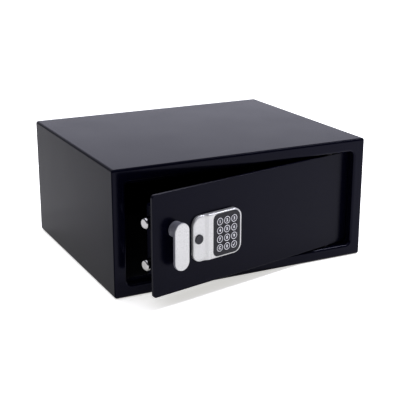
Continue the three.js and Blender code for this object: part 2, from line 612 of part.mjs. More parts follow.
// Bolt work
function addBoltWork() {
  const guide = box(guideLeft, guideRight, coverFront, coverInner - RUN, guideBottom, guideTop);
  const foot = box(guideLeft, guideRight + GUIDE_FOOT, coverFront, coverFront + GUIDE_SHEET,
    guideBottom, guideTop);
  const guideHoles = boltZ.map((z) => rod('x', BOLT_DIAMETER / 2 + RUN, guideLeft - RUN,
    guideRight + RUN, boltY, z));
  place(doorShut, 'bolt_guide', carve(guide, { add: [foot], cut: guideHoles }), ZINC_STEEL);

  const flange = box(flangeLeft, flangeRight, boltY - CARRIAGE_FLANGE_REACH,
    boltY + CARRIAGE_FLANGE_REACH, guideBottom, guideTop);
  const web = box(flangeLeft, webRight, webFront, webRear, webBottom, webTop);
  const through = [webFront - RUN, webRear + RUN];
  const pinSlotRadius = CRANK_PIN_DIAMETER / 2 + RUN;
  const pinDrop = crankReach * (1 - Math.cos(halfTurn));
  const cuts = [
    slab(stadium(crankPinX, crankPinZ + RUN, crankPinX, crankPinZ - pinDrop - RUN,
      pinSlotRadius), ...through),
    box(plungerX - PLUNGER_DIAMETER / 2 - RUN, plungerX + PLUNGER_DIAMETER / 2 + RUN, ...through,
      webTop - PLUNGER_TRAVEL - RUN, webTop + RUN),
  ];
  for (const height of [STUD_LOWER_HEIGHT, STUD_UPPER_HEIGHT]) {
    const studX = doorLeft + STUD_PLACE;
    const studZ = doorMiddle + height;
    cuts.push(slab(stadium(studX, studZ, studX + BOLT_THROW, studZ, STUD_DIAMETER / 2 + RUN),
      ...through));
  }
  for (const z of boltZ) {
    cuts.push(rod('x', BOLT_SCREW_DIAMETER / 2 + FIT, flangeLeft - RUN, flangeRight + RUN, boltY,
      z, SMALL_ROUND));
  }
  place(doorShut, 'bolt_carriage', carve(flange, { add: [web], cut: cuts }), ZINC_STEEL);

  boltZ.forEach((z, index) => {
    const word = index ? 'upper' : 'lower';
    const rear = flangeLeft - FIT;
    const shaft = rod('x', BOLT_DIAMETER / 2, boltEnd + CHAMFER, rear, boltY, z);
    const nose = new THREE.CylinderGeometry(BOLT_DIAMETER / 2, BOLT_DIAMETER / 2 - CHAMFER,
      CHAMFER, ROUND).rotateZ(-Math.PI / 2).translate(boltEnd + CHAMFER / 2, boltY, z);
    const thread = rod('x', BOLT_SCREW_DIAMETER / 2 + FIT, rear - BOLT_SCREW_DEPTH - FIT,
      rear + RUN, boltY, z, SMALL_ROUND);
    place(doorShut, `bolt_${word}`, carve(shaft, { add: [nose], cut: [thread] }), CHROME_STEEL);

    const headLeft = flangeRight + FIT;
    const shank = rod('x', BOLT_SCREW_DIAMETER / 2, rear - BOLT_SCREW_DEPTH, headLeft + RUN,
      boltY, z, SMALL_ROUND);
    const head = rod('x', BOLT_SCREW_HEAD / 2, headLeft, headLeft + BOLT_SCREW_HEAD_THICKNESS,
      boltY, z, SMALL_ROUND);
    place(doorShut, `bolt_screw_${word}`, carve(shank, { add: [head] }), ZINC_STEEL);
  });
}

// Handle
function addHandle() {
  const leverFront = doorFront - LEVER_STANDOFF - LEVER_THICKNESS;
  const leverRear = doorFront - LEVER_STANDOFF;
  const leverEnd = handleZ + LEVER_WIDTH / 2 - LEVER_LENGTH + LEVER_WIDTH / 2;
  const leverShape = stadium(handleX, handleZ, handleX, leverEnd, LEVER_WIDTH / 2);
  const neck = turned(handleX, handleZ, [
    [NECK_DIAMETER / 2 - CHAMFER, leverRear - RUN],
    [NECK_DIAMETER / 2, leverRear + RUN],
    [NECK_DIAMETER / 2, doorFront - FIT - RUN],
    [NECK_DIAMETER / 2 - RUN, doorFront - FIT],
  ]);
  const flangeRoom = rod('y', BUSH_FLANGE_DIAMETER / 2 + RUN,
    doorFront - FIT - BUSH_FLANGE_THICKNESS - RUN, doorFront, handleX, handleZ);
  const gripHole = rod('y', SPINDLE_DIAMETER / 2 + FIT, doorFront - SPINDLE_GRIP - FIT,
    doorFront, handleX, handleZ, SMALL_ROUND);
  const lever = carve(slab(leverShape, leverFront, leverRear, RUN, 6, 1),
    { add: [neck], cut: [flangeRoom, gripHole] });
  place(doorShut, 'handle_lever', lever, BLACK_PLASTIC);

  const faceShape = stadium(handleX, handleZ, handleX, leverEnd, LEVER_WIDTH / 2 - FACE_INSET);
  const faceRear = leverFront - FIT;
  place(doorShut, 'handle_face', slab(faceShape, faceRear - FACE_THICKNESS, faceRear, FIT, 6, 1),
    SATIN_SILVER);

  const bushRadius = SPINDLE_DIAMETER / 2 + FIT + BUSH_WALL;
  const bush = turned(handleX, handleZ, [
    [BUSH_FLANGE_DIAMETER / 2, doorFront - FIT - BUSH_FLANGE_THICKNESS],
    [BUSH_FLANGE_DIAMETER / 2, doorFront - FIT],
    [bushRadius, doorFront - FIT],
    [bushRadius, doorRear + BUSH_TAIL],
  ]);
  const bushBore = rod('y', SPINDLE_DIAMETER / 2 + FIT, doorFront - LEVER_STANDOFF,
    doorRear + 2 * BUSH_TAIL, handleX, handleZ, SMALL_ROUND);
  place(doorShut, 'handle_bush', carve(bush, { cut: [bushBore] }), WHITE_NYLON);

  const arm = slab(stadium(handleX, handleZ, crankPinX, crankPinZ, CRANK_EYE_RADIUS), crankFront,
    crankRear);
  const hub = rod('y', CRANK_HUB_RADIUS, crankFront, crankRear, handleX, handleZ);
  const shaft = rod('y', SPINDLE_DIAMETER / 2, doorFront - SPINDLE_GRIP, crankRear - RUN, handleX,
    handleZ, SMALL_ROUND);
  const thread = rod('y', NUT_THREAD_DIAMETER / 2, crankRear - RUN,
    crankRear + NUT_THICKNESS + FIT, handleX, handleZ, SMALL_ROUND);
  const pin = rod('y', CRANK_PIN_DIAMETER / 2, crankFront + RUN, webRear + STUD_PROUD, crankPinX,
    crankPinZ, SMALL_ROUND);
  place(doorShut, 'handle_crank', carve(arm, { add: [hub, shaft, thread, pin] }), ZINC_STEEL);

  const nutRadius = NUT_WIDTH / Math.sqrt(3);
  const nut = rod('y', nutRadius, crankRear + FIT, crankRear + FIT + NUT_THICKNESS, handleX,
    handleZ, 6);
  const nutBore = rod('y', NUT_THREAD_DIAMETER / 2 + FIT, crankRear, crankRear + 2 * NUT_THICKNESS,
    handleX, handleZ, SMALL_ROUND);
  place(doorShut, 'spindle_nut', carve(nut, { cut: [nutBore] }), ZINC_STEEL);
}

// Keypad
function addKeypad() {
  const right = housingLeft + HOUSING_WIDTH;
  const top = housingBottom + HOUSING_HEIGHT;
  const outline = roundedRect(housingLeft, right, housingBottom, top, HOUSING_CORNER);
  const low = pad(outline, doorFront - HOUSING_LOW, housingRear, HOUSING_EDGE);
  const high = pad(outline, doorFront - HOUSING_HIGH, housingRear, HOUSING_EDGE);
  const step = new THREE.Shape([
    new THREE.Vector2(housingLeft - HOUSING_WALL, doorFront - HOUSING_LOW),
    new THREE.Vector2(housingLeft + HOUSING_STEP_START, doorFront - HOUSING_LOW),
    new THREE.Vector2(housingLeft + HOUSING_STEP_START + HOUSING_STEP_RUN,
      doorFront - HOUSING_HIGH - RUN),
    new THREE.Vector2(housingLeft - HOUSING_WALL, doorFront - HOUSING_HIGH - RUN),
  ]);
  const above = new THREE.ExtrudeGeometry(step, {
    depth: HOUSING_HEIGHT + 2 * HOUSING_WALL,
    bevelEnabled: false,
  }).translate(0, 0, housingBottom - HOUSING_WALL);
  const raised = carve(high, { cut: [above] });

  const inset = HOUSING_WALL;
  const hollow = roundedRect(housingLeft + inset, right - inset, housingBottom + inset,
    top - inset, HOUSING_CORNER - inset);
  const hollowLow = slab(hollow, doorFront - HOUSING_LOW + HOUSING_WALL, housingRear + RUN);
  const innerLeft = housingLeft + HOUSING_STEP_START + HOUSING_STEP_RUN;
  const ledgeRear = panelRear + FIT + HOUSING_WALL;
  const hollowHigh = slab(roundedRect(innerLeft, right - inset, housingBottom + inset,
    top - inset, HOUSING_CORNER - inset), ledgeRear, housingRear + RUN);
  const panelRect = (grow, radius) => roundedRect(panelX - PANEL_WIDTH / 2 - grow,
    panelX + PANEL_WIDTH / 2 + grow, panelZ - PANEL_HEIGHT / 2 - grow,
    panelZ + PANEL_HEIGHT / 2 + grow, radius);
  const window = slab(panelRect(-PANEL_LEDGE, PANEL_CORNER - PANEL_LEDGE), panelRear, ledgeRear + RUN);
  const recess = slab(panelRect(FIT, PANEL_CORNER + FIT), panelFront - RUN, panelRear + FIT);
  const stubHole = rod('y', DISC_STUB_DIAMETER / 2 + FIT, doorFront - HOUSING_LOW - RUN,
    housingRear, lockX, lockZ, SMALL_ROUND);
  const housing = carve(low, { add: [raised], cut: [hollowLow, hollowHigh, window, recess, stubHole] });
  place(doorShut, 'keypad_housing', housing, SATIN_SILVER);

  const keyAt = (column, row) => ({
    x: panelX + (column - (KEY_COLUMNS - 1) / 2) * KEY_PITCH,
    z: panelZ - (row - (KEY_ROWS - 1) / 2) * KEY_PITCH,
  });
  const names = ['1', '2', '3', '4', '5', '6', '7', '8', '9', 'star', '0', 'hash'];
  const keyHoles = [];
  const flangeRear = panelRear + FIT + KEY_FLANGE_THICKNESS;
  for (let row = 0; row < KEY_ROWS; row++) {
    for (let column = 0; column < KEY_COLUMNS; column++) {
      const { x, z } = keyAt(column, row);
      keyHoles.push(rod('y', KEY_DIAMETER / 2 + FIT, panelFront - RUN, panelRear + RUN, x, z,
        SMALL_ROUND));
      const key = turned(x, z, [
        [KEY_DIAMETER / 2 - FIT, panelFront - KEY_PROUD],
        [KEY_DIAMETER / 2, panelFront - KEY_PROUD + FIT],
        [KEY_DIAMETER / 2, panelRear + FIT],
        [KEY_DIAMETER / 2 + KEY_FLANGE, panelRear + FIT],
        [KEY_DIAMETER / 2 + KEY_FLANGE, flangeRear],
      ], SMALL_ROUND);
      place(doorShut, `key_${names[row * KEY_COLUMNS + column]}`, key, KEY_RUBBER);
    }
  }
  const panel = carve(slab(panelRect(0, PANEL_CORNER), panelFront, panelRear), { cut: keyHoles });
  place(doorShut, 'keypad_panel', panel, DARK_PANEL);

  const board = slab(roundedRect(innerLeft + FIT, right - inset - FIT,
    housingBottom + inset + FIT, top - inset - FIT, HOUSING_CORNER - inset), boardFront,
  boardRear);
  place(doorShut, 'keypad_board', board, BOARD_GREEN);
}

// Emergency lock behind its cover disc
function addLock() {
  const bore = LOCK_PLUG_DIAMETER / 2 + FIT;
  const cylinder = rod('y', LOCK_DIAMETER / 2, lockFront, lockRear, lockX, lockZ);
  const cylinderBore = rod('y', bore, lockFront - RUN, lockRear + RUN, lockX, lockZ);
  place(doorShut, 'lock_cylinder', carve(cylinder, { cut: [cylinderBore] }), BRASS);

  const camFront = lockRear + FIT;
  const plug = rod('y', LOCK_PLUG_DIAMETER / 2, lockFront, camFront + RUN, lockX, lockZ);
  const cam = slab(stadium(lockX, lockZ, lockX + CAM_REACH - CAM_WIDTH / 2, lockZ, CAM_WIDTH / 2),
    camFront, camFront + CAM_SHEET);
  const keyway = box(lockX - LOCK_KEYWAY_WIDTH / 2, lockX + LOCK_KEYWAY_WIDTH / 2,
    lockFront - RUN, lockRear - CAM_SHEET, lockZ - LOCK_KEYWAY_HEIGHT / 2,
    lockZ + LOCK_KEYWAY_HEIGHT / 2);
  place(doorShut, 'lock_plug', carve(plug, { add: [cam], cut: [keyway] }), BRASS);

  const discRear = doorFront - HOUSING_LOW - FIT;
  const disc = turned(lockX, lockZ, [
    [DISC_DIAMETER / 2 - FIT, discRear - DISC_THICKNESS],
    [DISC_DIAMETER / 2, discRear - DISC_THICKNESS + FIT],
    [DISC_DIAMETER / 2, discRear],
    [DISC_STUB_DIAMETER / 2, discRear],
    [DISC_STUB_DIAMETER / 2, doorFront - HOUSING_LOW + HOUSING_WALL],
  ]);
  place(doorShut, 'keyhole_disc', disc, DISC_PLASTIC);
}

// Solenoid that blocks the bolt carriage
function addSolenoid() {
  const body = box(plungerX - SOLENOID_WIDTH / 2, plungerX + SOLENOID_WIDTH / 2,
    plungerY - SOLENOID_DEPTH / 2, plungerY + SOLENOID_DEPTH / 2, solenoidBottom,
    solenoidBottom + SOLENOID_HEIGHT);
  const foot = box(plungerX - SOLENOID_WIDTH / 2, plungerX + SOLENOID_WIDTH / 2, coverFront,
    plungerY, solenoidBottom, solenoidBottom + GUIDE_SHEET);
  const bore = rod('z', PLUNGER_DIAMETER / 2 + FIT, solenoidBottom - RUN,
    solenoidBottom + PLUNGER_BORE_DEPTH, plungerX, plungerY, SMALL_ROUND);
  place(doorShut, 'solenoid_body', carve(body, { add: [foot], cut: [bore] }), ZINC_STEEL);

  const tip = webTop + PLUNGER_TIP_GAP;
  const plunger = rod('z', PLUNGER_DIAMETER / 2, tip, solenoidBottom + PLUNGER_BORE_DEPTH - RUN,
    plungerX, plungerY, SMALL_ROUND);
  place(doorShut, 'solenoid_plunger', plunger, ZINC_STEEL);
}

// Batteries, control board, reset button and wiring
function addElectrics() {
  const right = holderLeft + holderWidth;
  const top = holderBottom + holderHeight;
  const tray = box(holderLeft, right, holderFront, holderRear, holderBottom, top);
  const well = box(holderLeft + HOLDER_WALL, right - HOLDER_WALL, holderFront + HOLDER_FLOOR,
    holderRear + RUN, holderBottom + HOLDER_WALL, top - HOLDER_WALL);
  place(doorShut, 'battery_holder', carve(tray, { cut: [well] }), BLACK_PLASTIC);

  const cellBottom = holderBottom + HOLDER_WALL + RUN + CELL_TIP_LENGTH;
  for (let index = 0; index < CELL_COUNT; index++) {
    const x = holderLeft + HOLDER_WALL + (index + 0.5) * CELL_PITCH;
    const up = index % 2 === 0;
    const low = cellBottom;
    const high = cellBottom + CELL_LENGTH;
    const can = rod('z', CELL_DIAMETER / 2, low, high, x, cellY);
    const tip = rod('z', CELL_TIP_DIAMETER / 2, up ? high - RUN : low - CELL_TIP_LENGTH,
      up ? high + CELL_TIP_LENGTH : low + RUN, x, cellY, SMALL_ROUND);
    place(doorShut, `battery_${index + 1}`, carve(can, { add: [tip] }), CELL_JACKET);
  }

  const boardRight = controlLeft + CONTROL_WIDTH;
  const boardTop = controlBottom + CONTROL_HEIGHT;
  const board = box(controlLeft, boardRight, controlFront, controlRear, controlBottom, boardTop);
  const leg = SCREW_DIAMETER;
  const legs = [];
  for (const x of [controlLeft + leg, boardRight - leg]) {
    for (const z of [controlBottom + leg, boardTop - leg]) {
      legs.push(rod('y', leg / 2, doorRear + FIT, controlFront + RUN, x, z, SMALL_ROUND));
    }
  }
  const half = SWITCH_SIZE / 2;
  const tactSwitch = box(switchX - half, switchX + half, controlRear - RUN, switchRear,
    switchZ - half, switchZ + half);
  place(doorShut, 'control_board', carve(board, { add: [...legs, tactSwitch] }), BOARD_GREEN);

  const stemTip = switchRear + FIT + RESET_TRAVEL;
  const button = turned(switchX, switchZ, [
    [RESET_STEM_DIAMETER / 2, stemTip],
    [RESET_STEM_DIAMETER / 2, coverInner - RESET_TRAVEL - RUN],
    [RESET_DIAMETER / 2, coverInner - RESET_TRAVEL - RUN],
    [RESET_DIAMETER / 2, coverRear + RESET_PROUD],
  ], SMALL_ROUND);
  place(doorShut, 'reset_button', button, RED_PLASTIC);

  const plugZ = boardTop - 2 * WIRE_DIAMETER;
  const bow = doorRear + 2 * WIRE_DIAMETER;
  const route = new THREE.CatmullRomCurve3([
    [boardRear + FIT, wireZ],
    [doorRear + RUN, wireZ],
    [bow, wireZ - WIRE_DIAMETER],
    [bow + WIRE_DIAMETER / 2, (wireZ + plugZ) / 2],
    [bow, plugZ + WIRE_DIAMETER / 2],
    [controlRear + FIT + WIRE_DIAMETER / 2, plugZ],
    [controlRear + FIT, plugZ],
  ].map(([y, z]) => new THREE.Vector3(wireX, y, z)));
  const section = new THREE.Shape().absarc(0, 0, WIRE_DIAMETER / 2, 0, 2 * Math.PI);
  const wiring = new THREE.ExtrudeGeometry(section, {
    steps: 24,
    curveSegments: 4,
    extrudePath: route,
    bevelEnabled: false,
  });
  place(doorShut, 'wiring', wiring, BLACK_PLASTIC);
}

addBody();
addFrame();
addHingeEnd('top', 1);
addHingeEnd('bottom', -1);
addDoorPlate();
addInnerCover();
addBoltWork();
addHandle();
addKeypad();
addLock();
addSolenoid();
addElectrics();

export default safe;
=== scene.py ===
"""The looks of a laptop safe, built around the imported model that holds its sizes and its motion.

Every piece is modelled in millimetres as it lies with the door shut, with y = 0 on the front of
the frame and z = 0 on the floor. Its group carries it to its place at rest, where the door stands
ajar.
"""

import json
import logging
import math
from dataclasses import dataclass, field, replace
from enum import Enum
from functools import cached_property
from typing import Callable, Iterable, Sequence

import bmesh
import bpy
from bmesh.types import BMesh, BMFace, BMVert
from bpy.types import Material, Mesh, Node, NodeSocket, NodeTree, Object
from mathutils import Matrix, Vector


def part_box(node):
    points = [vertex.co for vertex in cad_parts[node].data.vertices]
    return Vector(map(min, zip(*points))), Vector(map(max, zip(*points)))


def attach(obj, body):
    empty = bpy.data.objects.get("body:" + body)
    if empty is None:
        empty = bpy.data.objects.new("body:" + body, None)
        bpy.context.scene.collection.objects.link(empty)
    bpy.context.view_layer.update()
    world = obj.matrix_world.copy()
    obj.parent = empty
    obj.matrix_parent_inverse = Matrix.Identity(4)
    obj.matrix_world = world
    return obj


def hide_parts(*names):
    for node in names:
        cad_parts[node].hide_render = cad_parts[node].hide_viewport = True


LOG = logging.getLogger("laptop_safe")

# A millimetre in metres. In millimetres: the least length that counts, and how far a solid reaches
# past a face that it cuts or joins.
MM = 0.001
TINY = 1e-3
OVER = 1.0

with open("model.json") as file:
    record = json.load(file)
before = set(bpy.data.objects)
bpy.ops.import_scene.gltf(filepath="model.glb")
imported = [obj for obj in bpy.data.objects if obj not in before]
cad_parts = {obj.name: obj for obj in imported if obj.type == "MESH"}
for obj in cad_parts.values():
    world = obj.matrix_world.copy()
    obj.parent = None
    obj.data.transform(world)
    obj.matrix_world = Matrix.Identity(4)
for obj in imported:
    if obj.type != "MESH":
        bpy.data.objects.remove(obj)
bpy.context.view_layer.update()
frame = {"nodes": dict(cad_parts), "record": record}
DOOR_HINGE = next(joint for joint in frame["record"]["behaviour"]["joints"]
                  if joint["name"] == "door_hinge")


class Axis(Enum):
    """The way that a turned piece lies: its number, and the turn that brings +Y onto it."""

    X = (0, -math.pi / 2, "Z")
    Y = (1, 0.0, "X")
    Z = (2, math.pi / 2, "X")

    def through(self, place: "Box | Vector") -> Matrix:
        """Returns the way from a lathe that lies on +Y at the origin to this axis at a place."""
        number, angle, about = self.value
        point = Vector((place.x, place.y, place.z))
        point[number] = 0
        return Matrix.Translation(point) @ Matrix.Rotation(angle, 4, about)


class Join(Enum):
    """How one solid is combined with another."""

    ADD = "UNION"
    CUT = "DIFFERENCE"


@dataclass(frozen=True)
class Box:
    """A box in shut-door millimetres."""

    x0: float
    x1: float
    y0: float
    y1: float
    z0: float
    z1: float

    @property
    def x(self) -> float:
        """The middle across."""
        return (self.x0 + self.x1) / 2

    @property
    def y(self) -> float:
        """The middle from front to back."""
        return (self.y0 + self.y1) / 2

    @property
    def z(self) -> float:
        """The middle height."""
        return (self.z0 + self.z1) / 2

    @property
    def width(self) -> float:
        """The size across."""
        return self.x1 - self.x0

    @property
    def height(self) -> float:
        """The size upwards."""
        return self.z1 - self.z0

    def grown(self, by: float) -> "Box":
        """Returns the box grown by the same length on its four sides across and upwards."""
        return Box(self.x0 - by, self.x1 + by, self.y0, self.y1, self.z0 - by, self.z1 + by)

    def deep(self, front: float, rear: float) -> "Box":
        """Returns the box with another front and rear."""
        return Box(self.x0, self.x1, front, rear, self.z0, self.z1)


def door_turn() -> Matrix:
    """Returns the turn of the door about its hinge, from shut to rest."""
    pivot = Matrix.Translation(DOOR_HINGE["pos_m"])
    ajar = math.radians(-DOOR_HINGE["range_deg"][0])
    return pivot @ Matrix.Rotation(ajar, 4, "Z") @ pivot.inverted()


# Shapes

# A plate whose ends are full rounds keeps this much of a straight side between them.
ROUND_END_GAP = 0.005

# The figures on the keys: how far a letter's outline is thickened, as a share of its size, and the
# points of the tick in a square of that size.
BOLD = 0.026
TICK = "tick"
TICK_PATH = ((-0.34, -0.02), (-0.12, -0.28), (0.32, 0.34))


def select(bm: BMesh, test: Callable[[Vector], bool]) -> list:
    """Finds the edges that lie somewhere.

    Args:
        bm: the mesh.
        test: says whether a corner counts.

    Returns:
        The edges whose two corners both count.
    """
    return [edge for edge in bm.edges if all(test(vertex.co) for vertex in edge.verts)]


def lengthwise(bm: BMesh) -> list:
    """Returns the edges that run from front to back."""
    return [edge for edge in bm.edges if abs(edge.verts[0].co.y - edge.verts[1].co.y) > TINY]


def round_off(bm: BMesh, edges: Iterable, width: float, steps: int) -> None:
    """Rounds edges.

    Args:
        bm: the mesh.
        edges: the edges.
        width: the radius, in millimetres.
        steps: the facets across the rounding.
    """
    bmesh.ops.bevel(bm, geom=list(edges), offset=width, offset_type="OFFSET", segments=steps,
                    profile=0.5, affect="EDGES", clamp_overlap=False, material=-1)


def block(box: Box) -> BMesh:
    """Makes a plain box.

    Args:
        box: its size and place.

    Returns:
        The mesh.
    """
    bm = bmesh.new()
    bmesh.ops.create_cube(bm, size=1.0)
    bmesh.ops.scale(bm, verts=bm.verts, vec=(box.width, box.y1 - box.y0, box.height))
    bmesh.ops.translate(bm, verts=bm.verts, vec=(box.x, box.y, box.z))
    return bm


def pull(bm: BMesh, faces: list[BMFace], way: float, keep: bool = True) -> None:
    """Extrudes faces to the rear, or to the front.

    Args:
        bm: the mesh.
        faces: the faces.
        way: how far to the rear they go.
        keep: whether faces stay where they were.
    """
    pulled = bmesh.ops.extrude_face_region(bm, geom=faces, use_keep_orig=keep)
    if not keep:
        bmesh.ops.delete(bm, geom=faces, context="FACES_ONLY")
    fresh = [item for item in pulled["geom"] if isinstance(item, BMVert)]
    bmesh.ops.translate(bm, verts=fresh, vec=(0, way, 0))
    bmesh.ops.recalc_face_normals(bm, faces=bm.faces)


def plate(box: Box, radius: float, edge: float = 0.0, steps: int = 10, edge_steps: int = 3,
          both: bool = False) -> BMesh:
    """Makes a plate that faces the front, with rounded corners.

    Args:
        box: its size and place.
        radius: the corner radius.
        edge: the rounding of the front edge, or none.
        steps: the facets of a corner.
        edge_steps: the facets of the edge rounding.
        both: whether the rear edge is rounded too.

    Returns:
        The mesh.
    """
    bm = bmesh.new()
    corners = [bm.verts.new(place) for place in (
        (box.x0, box.y1, box.z0), (box.x1, box.y1, box.z0),
        (box.x1, box.y1, box.z1), (box.x0, box.y1, box.z1))]
    bm.faces.new(corners)
    widest = min(box.width, box.height) / 2 - ROUND_END_GAP
    bmesh.ops.bevel(bm, geom=corners, offset=min(radius, widest), offset_type="OFFSET",
                    segments=steps, profile=0.5, affect="VERTICES", clamp_overlap=False,
                    material=-1)
    bmesh.ops.remove_doubles(bm, verts=bm.verts, dist=4 * ROUND_END_GAP)
    pull(bm, bm.faces[:], box.y0 - box.y1)
    if edge:
        rims = select(bm, lambda p: abs(p.y - box.y0) < TINY)
        if both:
            rims += select(bm, lambda p: abs(p.y - box.y1) < TINY)
        round_off(bm, rims, edge, edge_steps)
    return bm


def quarter(steps: int) -> list[float]:
    """Returns the angles from nought to a right angle, in even steps."""
    return [math.radians(90 * step / steps) for step in range(steps + 1)]


def rearmost(bm: BMesh) -> BMFace:
    """Returns the face that lies furthest back."""
    return max(bm.faces, key=lambda face: face.calc_center_median().y)


def turned(profile: Sequence[tuple[float, float]], place: Box | Vector, axis: Axis = Axis.Y,
           steps: int = 56, closed: bool = False) -> BMesh:
    """Turns a profile on a lathe.

    Args:
        profile: radius and place along the axis, point by point.
        place: a box or a point that the axis goes through.
        axis: which way it lies.
        steps: the facets round it.
        closed: whether the profile closes on itself, as for a ring.

    Returns:
        The mesh.
    """
    bm = bmesh.new()
    points = [bm.verts.new((radius, along, 0)) for radius, along in profile]
    pairs = list(zip(points, points[1:]))
    if closed:
        pairs.append((points[-1], points[0]))
    lines = [bm.edges.new(pair) for pair in pairs]
    bmesh.ops.spin(bm, geom=points + lines, cent=(0, 0, 0), axis=(0, 1, 0), dvec=(0, 0, 0),
                   angle=2 * math.pi, steps=steps, use_merge=True, use_duplicate=False)
    bmesh.ops.remove_doubles(bm, verts=bm.verts, dist=TINY)
    bmesh.ops.recalc_face_normals(bm, faces=bm.faces)
    bmesh.ops.transform(bm, verts=bm.verts, matrix=axis.through(place))
    return bm


def rod(radius: float, low: float, high: float, place: Box | Vector, axis: Axis = Axis.Y,
        steps: int = 48) -> BMesh:
    """Makes a plain rod, for a hole or a shaft.

    Args:
        radius: its radius.
        low: where it starts along the axis.
        high: where it ends.
        place: a box or a point that the axis goes through.
        axis: which way it lies.
        steps: the facets round it.

    Returns:
        The mesh.
    """
    return turned([(0, low), (radius, low), (radius, high), (0, high)], place, axis, steps)


def loose(bm: BMesh) -> Object:
    """Makes a passing object of a mesh, and frees the mesh.

    Args:
        bm: the mesh.

    Returns:
        The object, linked to the scene.
    """
    mesh = bpy.data.meshes.new("passing")
    bm.to_mesh(mesh)
    bm.free()
    thing = bpy.data.objects.new("passing", mesh)
    bpy.context.scene.collection.objects.link(thing)
    return thing


def settle(thing: Object, others: Sequence[Object] = ()) -> BMesh:
    """Takes the shape that an object's modifiers give it, and removes the passing objects.

    Args:
        thing: the object.
        others: the passing objects that its modifiers use.

    Returns:
        The mesh.
    """
    graph = bpy.context.evaluated_depsgraph_get()
    shaped = bpy.data.meshes.new_from_object(thing.evaluated_get(graph))
    bm = bmesh.new()
    bm.from_mesh(shaped)
    bpy.data.meshes.remove(shaped)
    for passing in (thing, *others):
        data = passing.data
        bpy.data.objects.remove(passing)
        if isinstance(data, Mesh):
            bpy.data.meshes.remove(data)
        else:
            bpy.data.curves.remove(data)
    return bm


def combine(base: BMesh, tools: Iterable[BMesh], how: Join) -> BMesh:
    """Joins or cuts solids.

    Args:
        base: the solid to start from.
        tools: the solids to join to it or cut from it.
        how: which of the two.

    Returns:
        The mesh, with the ones that were given freed.
    """
    thing = loose(base)
    others = [loose(tool) for tool in tools]
    for other in others:
        step = thing.modifiers.new("step", "BOOLEAN")
        step.operation = how.value
        step.solver = "EXACT"
        step.object = other
    bm = settle(thing, others)
    bmesh.ops.remove_doubles(bm, verts=bm.verts, dist=TINY)
    return bm


def sheet_metal(skin: BMesh, thickness: float) -> BMesh:
    """Gives a skin its thickness, inwards.

    Args:
        skin: the outer skin.
        thickness: the sheet's thickness.

    Returns:
        The mesh.
    """
    bmesh.ops.recalc_face_normals(skin, faces=skin.faces)
    thing = loose(skin)
    wall = thing.modifiers.new("wall", "SOLIDIFY")
    wall.thickness = thickness
    wall.offset = -1.0
    wall.use_even_offset = True
    wall.use_quality_normals = True
    return settle(thing)


def lettering(text: str, size: float, depth: float) -> BMesh:
    """Makes a figure that faces the front, with its middle at the origin.

    Args:
        text: the figure.
        size: the letter size.
        depth: how thick it is.

    Returns:
        The mesh.
    """
    curve = bpy.data.curves.new("figure", "FONT")
    curve.body = text
    curve.size = size
    curve.offset = size * BOLD
    curve.extrude = depth / 2
    curve.resolution_u = 6
    thing = bpy.data.objects.new("figure", curve)
    bpy.context.scene.collection.objects.link(thing)
    bm = settle(thing)
    bmesh.ops.remove_doubles(bm, verts=bm.verts, dist=TINY)
    lows = [min(vertex.co[i] for vertex in bm.verts) for i in range(2)]
    highs = [max(vertex.co[i] for vertex in bm.verts) for i in range(2)]
    middle = Vector(((lows[0] + highs[0]) / 2, (lows[1] + highs[1]) / 2, 0))
    bmesh.ops.translate(bm, verts=bm.verts, vec=-middle)
    upright = Matrix.Rotation(math.pi / 2, 3, "X")
    bmesh.ops.rotate(bm, verts=bm.verts, cent=(0, 0, 0), matrix=upright)
    return bm


def tick_mark(size: float, depth: float, stroke: float = 0.15) -> BMesh:
    """Makes a tick that faces the front, with its middle at the origin.

    Args:
        size: the height of its square.
        depth: how thick it is.
        stroke: the width of its stroke, as a share of the size.

    Returns:
        The mesh.
    """
    path = [Vector(point) * size for point in TICK_PATH]
    half = stroke * size / 2
    sides = []
    for start, end in zip(path, path[1:]):
        way = (end - start).normalized()
        sides.append(Vector((-way.y, way.x)))
    joint = (sides[0] + sides[1]).normalized()
    joint *= half / joint.dot(sides[0])
    reach = [sides[0] * half, joint, sides[1] * half]
    outline = [point + side for point, side in zip(path, reach)]
    outline += [point - side for point, side in reversed(list(zip(path, reach)))]
    bm = bmesh.new()
    bm.faces.new([bm.verts.new((point.x, -depth / 2, point.y)) for point in outline])
    pull(bm, bm.faces[:], depth)
    return bm


def merge(parts: Sequence[BMesh]) -> BMesh:
    """Puts separate solids into one mesh.

    Args:
        parts: the solids, which are freed.

    Returns:
        The mesh.
    """
    whole = bmesh.new()
    for part in parts:
        mesh = bpy.data.meshes.new("passing")
        part.to_mesh(mesh)
        part.free()
        whole.from_mesh(mesh)
        bpy.data.meshes.remove(mesh)
    return whole


# Finishes


# Edges sharper than these stay creased in the shading, and get a bevel.
SHARP_ANGLE = math.radians(46)
BEVEL_ANGLE = math.radians(38)

# A colour, or the socket that feeds one, and the numbers of a mixing node's sockets for colours,
# whose names other sockets of it have too.
Colour = tuple[float, float, float, float] | NodeSocket
MIX_SHARE, MIX_ONE, MIX_OTHER, MIX_RESULT = 0, 6, 7, 2


def linear(hex_colour: str) -> tuple[float, float, float, float]:
    """Turns an sRGB hex colour into linear values.

    Args:
        hex_colour: six hex digits after a hash mark.

    Returns:
        Red, green, blue and alpha.
    """
    def curve(value: float) -> float:
        """Returns one channel in linear light."""
        return value / 12.92 if value <= 0.04045 else ((value + 0.055) / 1.055) ** 2.4

    channels = [int(hex_colour[i:i + 2], 16) / 255 for i in (1, 3, 5)]
    return (*(curve(channel) for channel in channels), 1.0)


def per_mm(size: float) -> float:
    """Returns the texture scale at which a pattern repeats about every size millimetres."""
    return 1 / (size * MM)


